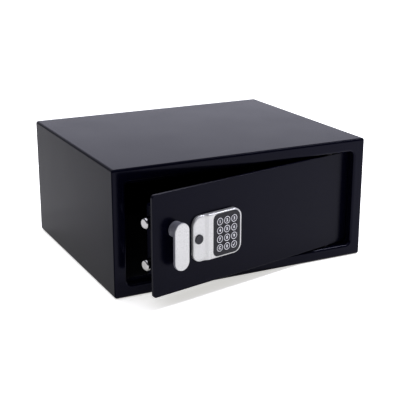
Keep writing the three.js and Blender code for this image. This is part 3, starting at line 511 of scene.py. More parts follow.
def feed(node: Node, inputs: dict) -> None:
    """Sets a node's sockets, each to a value or to the socket that feeds it."""
    for name, value in inputs.items():
        if isinstance(value, NodeSocket):
            node.id_data.links.new(value, node.inputs[name])
        else:
            node.inputs[name].default_value = value


def add_node(tree: NodeTree, kind: str, inputs: dict | None = None, **settings: str) -> Node:
    """Adds a node.

    Args:
        tree: the material's tree.
        kind: the node's type, after its usual beginning.
        inputs: its sockets, each with a value or with the socket that feeds it.
        settings: its properties.

    Returns:
        The node.
    """
    node = tree.nodes.new("ShaderNode" + kind)
    for name, value in settings.items():
        setattr(node, name, value)
    feed(node, inputs or {})
    return node


def noise(tree: NodeTree, place: NodeSocket, size_mm: float, detail: float, rough: float = 0.5,
          bend: float = 0.0) -> NodeSocket:
    """Lays noise whose bumps lie about size_mm millimetres apart, and returns its value."""
    return add_node(tree, "TexNoise", {
        "Vector": place, "Scale": per_mm(size_mm), "Detail": detail, "Roughness": rough,
        "Distortion": bend}).outputs["Fac"]


def mixed(tree: NodeTree, share: NodeSocket, one: Colour, other: Colour) -> NodeSocket:
    """Mixes a share of another colour into one, and returns the result."""
    mix = add_node(tree, "Mix", {MIX_SHARE: share, MIX_ONE: one, MIX_OTHER: other},
                   data_type="RGBA")
    return mix.outputs[MIX_RESULT]


# What feeds a shader's colour, its roughness and its relief.
Pattern = tuple[NodeSocket, NodeSocket | float, NodeSocket]


@dataclass(frozen=True)
class Grain:
    """A fine relief: how far apart its bumps lie and how deep they are, and how much it counts."""

    size_mm: float = 1.0
    depth_mm: float = 0.02
    strength: float = 0.3


@dataclass(frozen=True)
class Finish:
    """A finish: two colours that drift into each other, a band of roughness and a fine relief."""

    name: str
    colour: str
    shade: str
    drift_mm: float = 60.0
    rough: tuple[float, float] = (0.35, 0.45)
    grain: Grain = Grain()
    stretch: tuple[float, float, float] = (1.0, 1.0, 1.0)
    turn_deg: float = 0.0
    metallic: float = 0.0
    ior: float = 1.5
    specular: float = 0.5
    tint: str = "#FFFFFF"
    coat: float = 0.0
    coat_rough: float = 0.1
    sheen: float = 0.0

    def material(self) -> Material:
        """Returns the finish's material, which is made once."""
        made = bpy.data.materials.get(self.name)
        if made:
            return made
        made = bpy.data.materials.new(self.name)
        made.use_nodes = True
        tree = made.node_tree
        place = add_node(tree, "TexCoord").outputs["Object"]
        colour, rough, height = self.pattern(tree, place)
        relief = add_node(tree, "Bump", {
            "Height": height, "Strength": self.grain.strength,
            "Distance": self.grain.depth_mm * MM})
        feed(tree.nodes["Principled BSDF"], {
            "Metallic": self.metallic, "IOR": self.ior, "Coat Weight": self.coat,
            "Specular IOR Level": self.specular, "Specular Tint": linear(self.tint),
            "Coat Roughness": self.coat_rough, "Sheen Weight": self.sheen, "Base Color": colour,
            "Roughness": rough, "Normal": relief.outputs["Normal"]})
        return made

    def pattern(self, tree: NodeTree, place: NodeSocket) -> Pattern:
        """Lays the clouds and the grain of the finish.

        Args:
            tree: the material's tree.
            place: the object coordinates.

        Returns:
            What feeds the colour, the roughness and the relief.
        """
        drift = noise(tree, place, self.drift_mm, detail=4.0, rough=0.55)
        colour = mixed(tree, drift, linear(self.colour), linear(self.shade))
        turned_place = add_node(tree, "Mapping", {
            "Vector": place, "Rotation": (0, 0, math.radians(self.turn_deg)),
            "Scale": self.stretch})
        grain = noise(tree, turned_place.outputs["Vector"], self.grain.size_mm, detail=3.0,
                      rough=0.6)
        both = add_node(tree, "Math", {0: grain, 1: 0.5, 2: drift}, operation="MULTIPLY_ADD")
        rough = add_node(tree, "MapRange", {
            "Value": both.outputs["Value"], "From Min": 0.45, "From Max": 1.05,
            "To Min": self.rough[0], "To Max": self.rough[1]})
        return colour, rough.outputs["Result"], grain


# Polyester powder coat, sprayed and baked on sheet steel: near black and satin, with a fine
# orange peel that only shows as a slightly broken highlight. It mirrors little when seen
# straight on and much more at a flat angle.
POWDER_COAT = Finish(
    "black_polyester_powder_coat", "#02020A", "#03030D", 70.0, (0.2, 0.27),
    Grain(1.4, 0.03, 0.3), specular=0.017, tint="#DEDEFF")

# The same coat on the front frame, which faces the spray gun and comes out smoother.
FRAME_COAT = replace(
    POWDER_COAT, name="black_polyester_powder_coat_frame", rough=(0.09, 0.14), specular=0.08)

# The same coat on the back panel, which is sprayed last: it shows more sheen straight on, and a
# coarser orange peel.
BACK_COAT = replace(
    POWDER_COAT, name="black_polyester_powder_coat_back", rough=(0.24, 0.42),
    grain=Grain(1.8, 0.05, 0.3), specular=0.2)

# The same coat on the flat door plate, a touch duller than the frame.
DOOR_COAT = replace(
    POWDER_COAT, name="black_polyester_powder_coat_door", drift_mm=90.0, rough=(0.2, 0.26),
    specular=0.058)

# Polished chrome plate on turned steel: a mirror with the faint rings of the lathe under it.
CHROME = Finish(
    "polished_chrome_plate", "#9C9B9A", "#92918F", 25.0, (0.06, 0.14), Grain(0.7, 0.01, 0.2),
    stretch=(1.0, 0.05, 0.05), turn_deg=DOOR_HINGE["range_deg"][0], metallic=1.0)

# Bright zinc plate on pressed steel: dull grey with a soft cloudy spangle.
ZINC = Finish(
    "bright_zinc_plate", "#A6A9AE", "#8C8F95", 7.0, (0.28, 0.45), Grain(0.8, 0.02, 0.25),
    metallic=1.0)

# Satin silver lacquer on moulded ABS: metal flake in a clear binder, which mirrors softly.
SILVER_LACQUER = Finish(
    "satin_silver_lacquer", "#B9B9B8", "#B1B1B0", 0.9, (0.24, 0.34), Grain(0.5, 0.006, 0.2),
    metallic=0.5)

# Moulded ABS of the keypad plate: dark grey with a fine spark texture.
PANEL_ABS = Finish(
    "spark_textured_dark_abs", "#1D1D22", "#19191E", 8.0, (0.42, 0.55), Grain(0.6, 0.02, 0.35),
    specular=0.17)

# Silicone rubber of the keys: matt, and a touch lighter than the plate round them.
KEY_RUBBER = Finish(
    "matt_silicone_rubber", "#26262D", "#202026", 4.0, (0.5, 0.62), Grain(0.5, 0.01, 0.25),
    ior=1.41)

# Pad-printed epoxy ink: off-white, thin and slightly uneven.
KEY_INK = Finish(
    "pad_printed_white_ink", "#E4E4E9", "#CFCFD6", 1.5, (0.45, 0.6), Grain(0.4, 0.004, 0.2))

# Moulded black ABS of the small plastic pieces: satin, with soft flow marks.
BLACK_ABS = Finish(
    "satin_black_abs", "#26262B", "#1D1D21", 18.0, (0.28, 0.4), Grain(0.7, 0.015, 0.25))

# Moulded ABS of the lever and its neck: graphite grey and satin.
GRAPHITE_ABS = Finish(
    "satin_graphite_abs", "#66666D", "#5E5E65", 18.0, (0.26, 0.36), Grain(0.7, 0.012, 0.25))

# Acrylic disc over the keyhole: dark and glossy, with a clear face.
DARK_ACRYLIC = Finish(
    "glossy_dark_acrylic", "#202027", "#1A1A20", 10.0, (0.12, 0.22), Grain(1.0, 0.004, 0.15),
    ior=1.49, specular=0.2)

# Natural nylon of the bush and the washers: milky and waxy.
NYLON = Finish(
    "natural_nylon", "#DAD7CC", "#CCC8BB", 5.0, (0.4, 0.5), Grain(0.8, 0.01, 0.2), ior=1.53)

# Turned brass of the emergency lock: yellow, with lathe rings.
BRASS = Finish(
    "turned_brass", "#B8964F", "#9C7D3E", 4.0, (0.22, 0.38), Grain(0.4, 0.01, 0.25),
    stretch=(0.1, 1.0, 0.1), turn_deg=DOOR_HINGE["range_deg"][0], metallic=1.0)

# Printed jacket of a battery cell: dark, smooth film.
CELL_JACKET = Finish(
    "printed_cell_jacket", "#2F3640", "#262C35", 12.0, (0.2, 0.3), Grain(1.5, 0.01, 0.15),
    coat=0.3)

# Moulded red ABS of the reset button: bright and satin.
RED_ABS = Finish(
    "moulded_red_abs", "#A3271F", "#8E1F19", 3.0, (0.25, 0.35), Grain(0.6, 0.01, 0.2))


@dataclass(frozen=True)
class Felt(Finish):
    """Needle-punched felt: short fibres that lie every way, with lighter flecks."""

    fleck: str = "#4A4A50"

    def pattern(self, tree: NodeTree, place: NodeSocket) -> Pattern:
        """Lays the fibres.

        Args:
            tree: the material's tree.
            place: the object coordinates.

        Returns:
            What feeds the colour, the roughness and the relief.
        """
        bent = noise(tree, place, self.drift_mm, detail=2.0, bend=1.5)
        fibres = noise(tree, place, self.grain.size_mm, detail=6.0, rough=0.75, bend=2.5)
        ground = mixed(tree, bent, linear(self.colour), linear(self.shade))
        flecks = add_node(tree, "MapRange", {
            "Value": fibres, "From Min": 0.58, "From Max": 0.75})
        colour = mixed(tree, flecks.outputs["Result"], ground, linear(self.fleck))
        return colour, self.rough[1], fibres


FELT = Felt("needle_punched_felt", "#26262B", "#1E1E22", 25.0, (0.95, 0.95),
            Grain(1.6, 0.5, 0.8), sheen=0.25)


@dataclass(frozen=True)
class SolderMask(Finish):
    """Green solder mask over copper: straight tracks stand slightly lighter and proud."""

    copper: str = "#3C8A58"

    def pattern(self, tree: NodeTree, place: NodeSocket) -> Pattern:
        """Lays the tracks.

        Args:
            tree: the material's tree.
            place: the object coordinates.

        Returns:
            What feeds the colour, the roughness and the relief.
        """
        tracks = add_node(tree, "TexBrick", {
            "Vector": place, "Scale": per_mm(self.grain.size_mm * 4), "Mortar Size": 0.03,
            "Color1": linear(self.colour), "Color2": linear(self.shade),
            "Mortar": linear(self.copper)})
        return tracks.outputs["Color"], self.rough[1], tracks.outputs["Fac"]


SOLDER_MASK = SolderMask("green_solder_mask", "#1C5233", "#184A2D", rough=(0.3, 0.3),
                         grain=Grain(2.2, 0.04, 0.3), coat=0.3)


def refinish(finish: Finish, *nodes: str) -> None:
    """Gives nodes of the model a finish.

    Args:
        finish: the finish.
        nodes: the nodes' names.
    """
    for name in nodes:
        node = frame["nodes"][name]
        for slot in node.material_slots:
            slot.material = finish.material()
        LOG.info("finished %s as %s", name, finish.name)


# The sub-assemblies


@dataclass
class Group:
    """Pieces that turn together from where they lie with the door shut to their place at rest."""

    turn: Matrix

    @cached_property
    def matrix(self) -> Matrix:
        """The way from shut-door millimetres to metres at rest."""
        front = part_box("front_frame")[0][1]
        return self.turn @ Matrix.Translation((0, front, 0)) @ Matrix.Scale(MM, 4)

    def corners(self, node: str) -> list[Vector]:
        """Returns the corners of a node of the model, in shut-door millimetres."""
        back = self.matrix.inverted()
        return [back @ vertex.co for vertex in frame["nodes"][node].data.vertices]

    def box(self, node: str) -> Box:
        """Returns the box of a node of the model, in shut-door millimetres."""
        spans = [(min(line), max(line)) for line in zip(*self.corners(node))]
        return Box(*spans[0], *spans[1], *spans[2])

    def dress(self, bm: BMesh, name: str, body: str, finish: Finish, slot: str, *nodes: str,
              edge: float = 0.0) -> Object:
        """Makes a finished piece of a mesh.

        Args:
            bm: the mesh in shut-door millimetres, which is freed.
            name: the piece's name.
            body: the body that it rides on.
            finish: its finish.
            slot: the record's material slot for the piece; not used.
            nodes: the nodes of the model that it replaces.
            edge: the width of the small bevel that breaks its sharp edges, or none.

        Returns:
            The object.
        """
        bmesh.ops.transform(bm, verts=bm.verts, matrix=self.matrix)
        mesh = bpy.data.meshes.new(name)
        bm.to_mesh(mesh)
        bm.free()
        mesh.shade_smooth()
        mesh.set_sharp_from_angle(angle=SHARP_ANGLE)
        piece = bpy.data.objects.new(name, mesh)
        bpy.context.scene.collection.objects.link(piece)
        mesh.materials.append(finish.material())
        if edge:
            bevel = piece.modifiers.new("broken_edges", "BEVEL")
            bevel.width = edge * MM
            bevel.segments = 2
            bevel.limit_method = "ANGLE"
            bevel.angle_limit = BEVEL_ANGLE
            bevel.miter_outer = "MITER_ARC"
        shading = piece.modifiers.new("even_shading", "WEIGHTED_NORMAL")
        shading.keep_sharp = True
        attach(piece, body)
        if nodes:
            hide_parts(*nodes)
        LOG.info("made %s on %s, %d faces", name, body, len(mesh.polygons))
        return piece


@dataclass
class Case(Group):
    """The welded steel body with its front frame, back, stops, hinge pins, mat and plugs."""

    sheet: float = 2.0
    side: float = 19.5
    foot: float = 19.0
    head: float = 20.0
    bend: float = 4.0
    bend_steps: int = 6
    roll: float = 4.0
    roll_steps: int = 6
    corner: float = 8.0
    back_corner: float = 0.6
    play: float = 0.3
    pin_hole: float = 2.8
    pin_head: float = 2.0
    pin_soft: float = 0.8
    washer_soft: float = 0.3
    plug_rim: float = 1.2
    plug_crown: float = 0.9
    plug_wall: float = 2.0
    plug_hollow: float = 0.6
    plug_soft: float = 0.4
    anchor_hole: float = 6.0
    base_hole_setback: float = 230.0
    return_depth: float = 25.0
    mat_cuts: int = 24
    mat_edge: float = 0.8
    mat_sag: float = 0.6
    mat_wave_across: float = 31.0
    mat_wave_back: float = 27.0
    mat_wave_shift: float = 1.0

    def build(self) -> None:
        """Builds all the pieces that don't move."""
        self.build_body()
        self.build_back()
        self.build_stops()
        self.build_hinge_pins()
        self.build_mat()
        self.build_plugs()

    def build_body(self) -> None:
        """Folds the outer skin, the front frame and its return out of one sheet."""
        shell = self.box("body_shell")
        front = self.box("front_frame")
        outer = Box(shell.x0, shell.x1, front.y0, shell.y1, shell.z0, shell.z1)
        opening = Box(outer.x0 + self.side, outer.x1 - self.side, front.y0, front.y1,
                      outer.z0 + self.foot, outer.z1 - self.head)
        skin = block(outer)
        rear = select(skin, lambda place: place.y > outer.y1 - TINY)
        folds = [edge for edge in skin.edges if edge not in rear]
        round_off(skin, folds, self.bend, self.bend_steps)
        hollow = block(outer.grown(-self.sheet).deep(self.sheet, outer.y1 + OVER))
        round_off(hollow, lengthwise(hollow), self.bend - self.sheet, steps=2)
        body = combine(skin, [hollow], Join.CUT)
        lining = self.funnel(opening.deep(self.sheet, front.y1), self.sheet,
                             self.roll - self.sheet)
        body = combine(body, [lining], Join.ADD)
        mouth = self.funnel(opening.deep(front.y0, front.y1 + self.sheet), 0.0, self.roll)
        body = combine(body, [mouth, *self.holes(outer)], Join.CUT)
        self.mark_front(body, outer)
        piece = self.dress(body, "case_body", "case", POWDER_COAT, "powder_coat",
                           "body_shell", "front_frame")
        piece.data.materials.append(FRAME_COAT.material())

    def mark_front(self, body: BMesh, outer: Box) -> None:
        """Gives the front frame and its return to the body's second finish.

        Args:
            body: the body's mesh.
            outer: the body's box.
        """
        inside = outer.grown(-self.sheet - TINY)
        for face in body.faces:
            place = face.calc_center_median()
            framed = (inside.x0 < place.x < inside.x1 and inside.z0 < place.z < inside.z1
                      and place.y < outer.y0 + self.return_depth)
            if framed or place.y < outer.y0 + self.bend / 3:
                face.material_index = 1

    def funnel(self, opening: Box, wider: float, roll: float) -> BMesh:
        """Makes a solid that fills the opening and flares out at its front in a quarter round.

        Args:
            opening: the opening, from the front of the flare to the rear of the solid.
            wider: how much further out the solid reaches on each side.
            roll: the radius of the flare.

        Returns:
            The mesh.
        """
        bm = plate(opening.grown(wider + roll).deep(opening.y0 - OVER, opening.y0),
                   self.corner + wider + roll, steps=12)
        turns = quarter(self.roll_steps)
        for before, after in zip(turns, turns[1:]):
            bmesh.ops.inset_individual(
                bm, faces=[rearmost(bm)], thickness=roll * (math.sin(after) - math.sin(before)),
                depth=roll * (math.cos(before) - math.cos(after)), use_even_offset=True)
        pull(bm, [rearmost(bm)], opening.y1 - opening.y0 - roll, keep=False)
        return bm

    def holes(self, outer: Box) -> list[BMesh]:
        """Makes the drills for the hinge pins and for the two fixing holes in the base.

        Args:
            outer: the body's box.

        Returns:
            The drills.
        """
        pin = self.box("hinge_pin_bottom")
        plug = self.box("anchor_plug_right")
        places = [Vector((x, self.base_hole_setback, 0)) for x in (-plug.x, plug.x)]
        return [
            rod(self.pin_hole, outer.z0 + self.foot / 2, outer.z1 - self.head / 2, pin, Axis.Z),
            *(rod(self.anchor_hole, -self.sheet, 2 * self.sheet, place, Axis.Z)
              for place in places),
        ]

    def build_back(self) -> None:
        """Sets the back panel in the rear, with its two fixing holes."""
        box = self.box("back_panel")
        plug = self.box("anchor_plug_right")
        holes = [rod(self.anchor_hole, box.y0 - OVER, box.y1 + OVER, Vector((x, 0, plug.z)))
                 for x in (-plug.x, plug.x)]
        panel = combine(plate(box, self.back_corner, steps=2), holes, Join.CUT)
        self.dress(panel, "case_back", "case", BACK_COAT, "powder_coat", "back_panel", edge=0.3)

    def build_stops(self) -> None:
        """Makes the two strips that the shut door rests against."""
        for node in ("stop_strip_bottom", "stop_strip_top"):
            self.dress(block(self.box(node)), node.replace("strip", "bar"), "case", POWDER_COAT,
                       "powder_coat", node, edge=0.4)

    def build_hinge_pins(self) -> None:
        """Turns the hinge pins and their washers."""
        for word, up in (("bottom", -1), ("top", 1)):
            pin = self.box(f"hinge_pin_{word}")
            head, tip = (pin.z1, pin.z0) if up > 0 else (pin.z0, pin.z1)
            rim, neck, soft = pin.width / 2, self.pin_hole - self.play, self.pin_soft
            seat = head - up * self.pin_head
            profile = [(0, head), (rim - soft, head), (rim, head - up * soft), (rim, seat),
                       (neck, seat), (neck, tip + up * soft), (neck - soft, tip), (0, tip)]
            self.dress(turned(profile, pin, Axis.Z), f"pivot_pin_{word}", "case", ZINC,
                       "zinc_steel", f"hinge_pin_{word}")
            ring = self.box(f"hinge_washer_{word}")
            wide, bore, soft = ring.width / 2, self.pin_hole, self.washer_soft
            profile = [(bore, ring.z0), (wide - soft, ring.z0), (wide, ring.z0 + soft),
                       (wide, ring.z1 - soft), (wide - soft, ring.z1), (bore, ring.z1)]
            self.dress(turned(profile, ring, Axis.Z, closed=True), f"thrust_washer_{word}",
                       "case", NYLON, "nylon", f"hinge_washer_{word}")

    def build_mat(self) -> None:
        """Lays the felt mat, whose top gives a little between its edges."""
        box = self.box("floor_mat")
        bm = block(box)
        bmesh.ops.subdivide_edges(bm, edges=bm.edges[:], cuts=self.mat_cuts, use_grid_fill=True)
        corners = [edge for edge in bm.edges if edge.calc_face_angle(0) > BEVEL_ANGLE]
        round_off(bm, corners, self.mat_edge, steps=2)
        for vertex in bm.verts:
            if vertex.co.z > box.z1 - TINY:
                across = math.sin(vertex.co.x / self.mat_wave_across)
                back = math.sin(vertex.co.y / self.mat_wave_back + self.mat_wave_shift)
                vertex.co.z -= self.mat_sag * (0.5 + 0.5 * (across * back))
        mat = self.dress(bm, "felt_mat", "case", FELT, "felt", "floor_mat")

    def build_plugs(self) -> None:
        """Turns the blanking plugs in the back panel."""
        for word in ("left", "right"):
            node = f"anchor_plug_{word}"
            box = self.box(node)
            rim, stem, soft = box.width / 2, self.anchor_hole - self.play, self.plug_soft
            bore = stem - self.plug_wall
            seat, floor = box.y1 - self.sheet, box.y1 - self.plug_hollow
            profile = [(0, box.y0), (rim - self.plug_rim, box.y0),
                       (rim, box.y0 + self.plug_crown), (rim, seat), (stem, seat),
                       (stem, box.y1 - soft), (stem - soft, box.y1), (bore, box.y1),
                       (bore - soft, floor), (0, floor)]
            self.dress(turned(profile, box), f"blanking_plug_{word}", "case", BLACK_ABS,
                       "black_plastic", node)


SCREWS = tuple(f"cover_screw_{index}" for index in range(1, 5))


@dataclass
class Door(Group):
    """The door plate with its knuckles, the cover over the works and what shows of them."""

    thickness: float = 5.0
    corner: float = 5.0
    edge: float = 0.7
    pin_hole: float = 2.8
    cover_sheet: float = 1.2
    cover_corner: float = 3.0
    cover_edge: float = 1.4
    tab_width: float = 12.0
    tab_reach: float = 10.0
    bolt_hole: float = 9.0
    lid_slack: float = 0.4
    lid_corner: float = 1.0
    notch: float = 8.5
    rib_reach: float = 14.0
    rib_drops: tuple[float, ...] = (13.0, 15.4, 17.8)
    rib_width: float = 0.8
    rib_depth: float = 0.4
    play: float = 0.3
    spindle_hole: float = 6.3
    wire_hole: float = 6.0
    plug_half: float = 2.0
    screw_hole: float = 2.3
    screw_blind: float = 3.3
    screw_shank: float = 2.0
    screw_head: float = 2.4
    pan_outline: tuple[tuple[float, float], ...] = ((0.0, 0.0), (0.0, 1.0), (0.5, 1.7), (1.4, 2.2))
    soft: float = 0.5
    slot_reach: float = 2.2
    slot_half: float = 0.4
    slot_depth: float = 1.1
    stud: float = 2.5
    stud_inset: float = 21.0
    stud_heights: tuple[float, ...] = (74.0, 99.0)
    button_stem: float = 1.5
    button_seat: float = 1.5
    cell_tip: float = 2.7
    cell_tip_soft: float = 0.2
    cell_tip_height: float = 1.0
    cell_neck: float = 6.2
    cell_shoulder: float = 1.6
    cell_foot: float = 0.8

    def build(self) -> None:
        """Builds the pieces that move with the door, apart from the keypad and the handle."""
        self.build_plate()
        self.build_knuckles()
        self.build_cover()
        self.build_screws()
        self.build_lid()
        self.build_reset_button()
        self.build_cells()
        refinish(ZINC, "bolt_guide", "solenoid_body", "solenoid_plunger")
        refinish(BRASS, "lock_cylinder", "lock_plug")
        refinish(SOLDER_MASK, "keypad_board", "control_board")
        refinish(BLACK_ABS, "battery_holder", "wiring")

    def build_plate(self) -> None:
        """Cuts the door plate with its holes for the spindle, the lock and the wires."""
        whole = self.box("door_plate")
        box = whole.deep(whole.y0, whole.y0 + self.thickness)
        through = (box.y0 - OVER, box.y1 + OVER)
        spindle = self.box("spindle_nut")
        lock = self.box("lock_cylinder")
        wires = self.box("wiring")
        holes = [rod(self.spindle_hole, *through, spindle),
                 rod(lock.width / 2 + self.play, *through, lock),
                 rod(self.wire_hole, *through, Vector((wires.x, 0, wires.z1 - self.plug_half)))]
        for screw in map(self.box, SCREWS):
            holes.append(rod(self.screw_hole, box.y1 - self.screw_blind, box.y1 + OVER, screw,
                             steps=24))
        bm = combine(plate(box, self.corner, self.edge, both=True), holes, Join.CUT)
        along = self.box("bolt_carriage").x0 + self.stud_inset
        studs = [rod(self.stud, box.y1 - OVER, whole.y1, Vector((along, 0, z)), steps=24)
                 for z in self.stud_heights]
        self.dress(combine(bm, studs, Join.ADD), "door_slab", "door", DOOR_COAT, "powder_coat",
                   "door_plate")

    def build_knuckles(self) -> None:
        """Makes the two bored blocks that the door hangs on."""
        pivot = self.matrix.inverted() @ Vector(DOOR_HINGE["pos_m"])
        for word in ("bottom", "top"):
            box = self.box(f"knuckle_{word}")
            bore = rod(self.pin_hole, box.z0 - OVER, box.z1 + OVER, pivot, Axis.Z)
            self.dress(combine(block(box), [bore], Join.CUT), f"hinge_knuckle_{word}", "door",
                       POWDER_COAT, "powder_coat", f"knuckle_{word}", edge=0.5)

    def build_cover(self) -> None:
        """Presses the cover over the works, with its tabs, and cuts its openings."""
        whole = self.box("inner_cover")
        box = replace(whole, z0=whole.z0 + self.tab_reach, z1=whole.z1 - self.tab_reach)
        bm = block(box)
        open_side = [face for face in bm.faces if face.calc_center_median().y < box.y0 + TINY]
        bmesh.ops.delete(bm, geom=open_side, context="FACES_ONLY")
        round_off(bm, lengthwise(bm), self.cover_corner, steps=5)
        round_off(bm, select(bm, lambda p: p.y > box.y1 - TINY), self.cover_edge, steps=3)
        shell = sheet_metal(bm, self.cover_sheet)
        tabs, cuts = [], []
        for screw in map(self.box, SCREWS):
            up = screw.z > box.z
            low = box.z1 - self.cover_sheet / 2 if up else box.z0 - self.tab_reach
            high = box.z1 + self.tab_reach if up else box.z0 + self.cover_sheet / 2
            tabs.append(block(Box(screw.x - self.tab_width / 2, screw.x + self.tab_width / 2,
                                  box.y0, box.y0 + self.cover_sheet, low, high)))
            cuts.append(rod(self.screw_hole, box.y0 - OVER, box.y0 + 3 * OVER, screw, steps=24))
        lid = self.box("battery_lid")
        cuts.append(block(lid.grown(self.lid_slack).deep(lid.y0 - OVER, lid.y1 + OVER)))
        button = self.box("reset_button")
        cuts.append(rod(button.width / 2 + self.play, box.y1 - 3 * OVER, box.y1 + 3 * OVER,
                        button))
        for node in ("bolt_lower", "bolt_upper"):
            bolt = self.box(node)
            cuts.append(rod(self.bolt_hole, box.x0 - OVER, box.x0 + 3 * OVER, bolt, Axis.X))
        cover = combine(combine(shell, tabs, Join.ADD), cuts, Join.CUT)
        self.dress(cover, "works_cover", "door", POWDER_COAT, "powder_coat", "inner_cover",
                   edge=0.15)

    def build_screws(self) -> None:
        """Turns the cover's pan-head screws and cuts their cross slots."""
        for node in SCREWS:
            box = self.box(node)
            shank, seat = self.screw_shank, box.y1 - self.screw_head
            head = [(box.width / 2 - inward, seat + rise) for inward, rise in self.pan_outline]
            profile = [(0, box.y0), (shank - self.soft, box.y0), (shank, box.y0 + self.soft),
                       (shank, seat), *head, (0, box.y1)]
            reach, half = self.slot_reach, self.slot_half
            slots = [block(Box(box.x - wide, box.x + wide, box.y1 - self.slot_depth, box.y1 + OVER,
                               box.z - high, box.z + high))
                     for wide, high in ((reach, half), (half, reach))]
            screw = combine(turned(profile, box, steps=32), slots, Join.CUT)
            self.dress(screw, node.replace("cover_screw", "pan_screw"), "door", ZINC, "zinc_steel",
                       node)

    def build_lid(self) -> None:
        """Makes the battery lid with its finger notch and the grooves between its ribs."""
        box = self.box("battery_lid")
        notch = rod(self.notch, box.y0 - OVER, box.y1 + OVER, Vector((box.x, 0, box.z1)))
        bm = combine(plate(box, self.lid_corner, steps=4), [notch], Join.CUT)
        grooves = [block(Box(box.x - self.rib_reach, box.x + self.rib_reach,
                             box.y1 - self.rib_depth, box.y1 + OVER, z, z + self.rib_width))
                   for z in (box.z1 - drop for drop in self.rib_drops)]
        self.dress(combine(bm, grooves, Join.CUT), "battery_door", "lid", BLACK_ABS,
                   "black_plastic", "battery_lid", edge=0.2)

    def build_reset_button(self) -> None:
        """Turns the reset button and its stem."""
        box = self.box("reset_button")
        rim, stem = box.width / 2, self.button_stem
        step = self.box("inner_cover").y1 - self.cover_sheet - self.button_seat
        profile = [(0, box.y0), (stem, box.y0), (stem, step), (rim, step),
                   (rim, box.y1 - self.soft), (rim - self.soft, box.y1), (0, box.y1)]
        self.dress(turned(profile, box, steps=32), "reset_pin", "reset", RED_ABS, "red_plastic",
                   "reset_button")

    def build_cells(self) -> None:
        """Turns the four battery cells, each other one upside down."""
        for index in range(4):
            node = f"battery_{index + 1}"
            box = self.box(node)
            up = 1 if index % 2 == 0 else -1
            top, foot = (box.z1, box.z0) if up > 0 else (box.z0, box.z1)
            rim, tip, soft = box.width / 2, self.cell_tip, self.cell_tip_soft
            collar = top - up * self.cell_tip_height
            profile = [(0, top), (tip - soft, top), (tip, top - up * soft), (tip, collar),
                       (self.cell_neck, collar), (rim, top - up * self.cell_shoulder),
                       (rim, foot + up * self.cell_foot), (rim - self.cell_foot, foot), (0, foot)]
            self.dress(turned(profile, box, Axis.Z, steps=40), f"cell_{index + 1}", "door",
                       CELL_JACKET, "cell", node)


@dataclass
class Handle(Group):
    """The lever on its round neck, with its silver face, and the crank behind the door."""

    neck: float = 11.8
    neck_soft: float = 0.7
    neck_flat: float = 0.1
    neck_ring: float = 4.8
    lever_edge: float = 0.6
    face_edge: float = 0.7
    bush_seat: float = 9.5
    bush_seat_depth: float = 1.5
    spindle: float = 4.3
    spindle_depth: float = 8.0

    def build(self) -> None:
        """Builds the pieces that turn with the handle, and the bush that they turn in."""
        self.build_lever()
        self.build_face()
        refinish(ZINC, "handle_crank", "spindle_nut")
        refinish(NYLON, "handle_bush")

    def build_lever(self) -> None:
        """Makes the graphite lever and its neck as one moulding."""
        box = self.box("handle_lever")
        nut = self.box("spindle_nut")
        face = self.box("handle_face")
        radius = face.width / 2 + face.z0 - box.z0
        low = [place.y for place in self.corners("handle_lever") if place.z < box.z0 + radius]
        arm = Box(nut.x - radius, nut.x + radius, box.y0, max(low), box.z0, nut.z + radius)
        bm = plate(arm, radius, self.lever_edge, steps=20, both=True)
        groove, root = box.y1 - self.neck_ring, box.y0 + OVER
        neck, soft = self.neck, self.neck_soft
        waist = neck - soft
        profile = [(0, root), (neck, root), (neck, groove - soft), (waist, groove - self.neck_flat),
                   (waist, groove + self.neck_flat), (neck, groove + soft), (neck, box.y1 - soft),
                   (waist, box.y1), (0, box.y1)]
        bm = combine(bm, [turned(profile, nut, steps=72)], Join.ADD)
        hollows = [rod(bore, box.y1 - depth, box.y1 + OVER, nut)
                   for bore, depth in ((self.bush_seat, self.bush_seat_depth),
                                       (self.spindle, self.spindle_depth))]
        self.dress(combine(bm, hollows, Join.CUT), "lever_arm", "handle", GRAPHITE_ABS,
                   "black_plastic", "handle_lever", edge=0.3)

    def build_face(self) -> None:
        """Makes the silver face of the lever."""
        box = self.box("handle_face")
        bm = plate(box, box.width / 2, self.face_edge, steps=20, edge_steps=4)
        self.dress(bm, "lever_face", "handle", SILVER_LACQUER, "satin_silver", "handle_face")


@dataclass
class BoltWork(Group):
    """The two chrome bolts on their carriage."""

    nose: float = 3.2
    round_steps: int = 6
    soft: float = 0.5
    thread_hole: float = 2.8
    thread_depth: float = 10.3

    def build(self) -> None:
        """Builds the bolts and finishes what carries them."""
        for word in ("lower", "upper"):
            node = f"bolt_{word}"
            box = self.box(node)
            rim = box.height / 2
            nose = [(rim - self.nose * (1 - math.sin(turn)),
                     box.x0 + self.nose * (1 - math.cos(turn)))
                    for turn in quarter(self.round_steps)]
            thread = box.x1 - self.thread_depth
            profile = [(0, box.x0), *nose, (rim, box.x1 - self.soft), (rim - self.soft, box.x1),
                       (self.thread_hole, box.x1), (self.thread_hole, thread), (0, thread)]
            self.dress(turned(profile, box, Axis.X, steps=72), f"round_bolt_{word}", "bolt_work",
                       CHROME, "chrome", node)
        refinish(ZINC, "bolt_carriage", "bolt_screw_lower", "bolt_screw_upper")


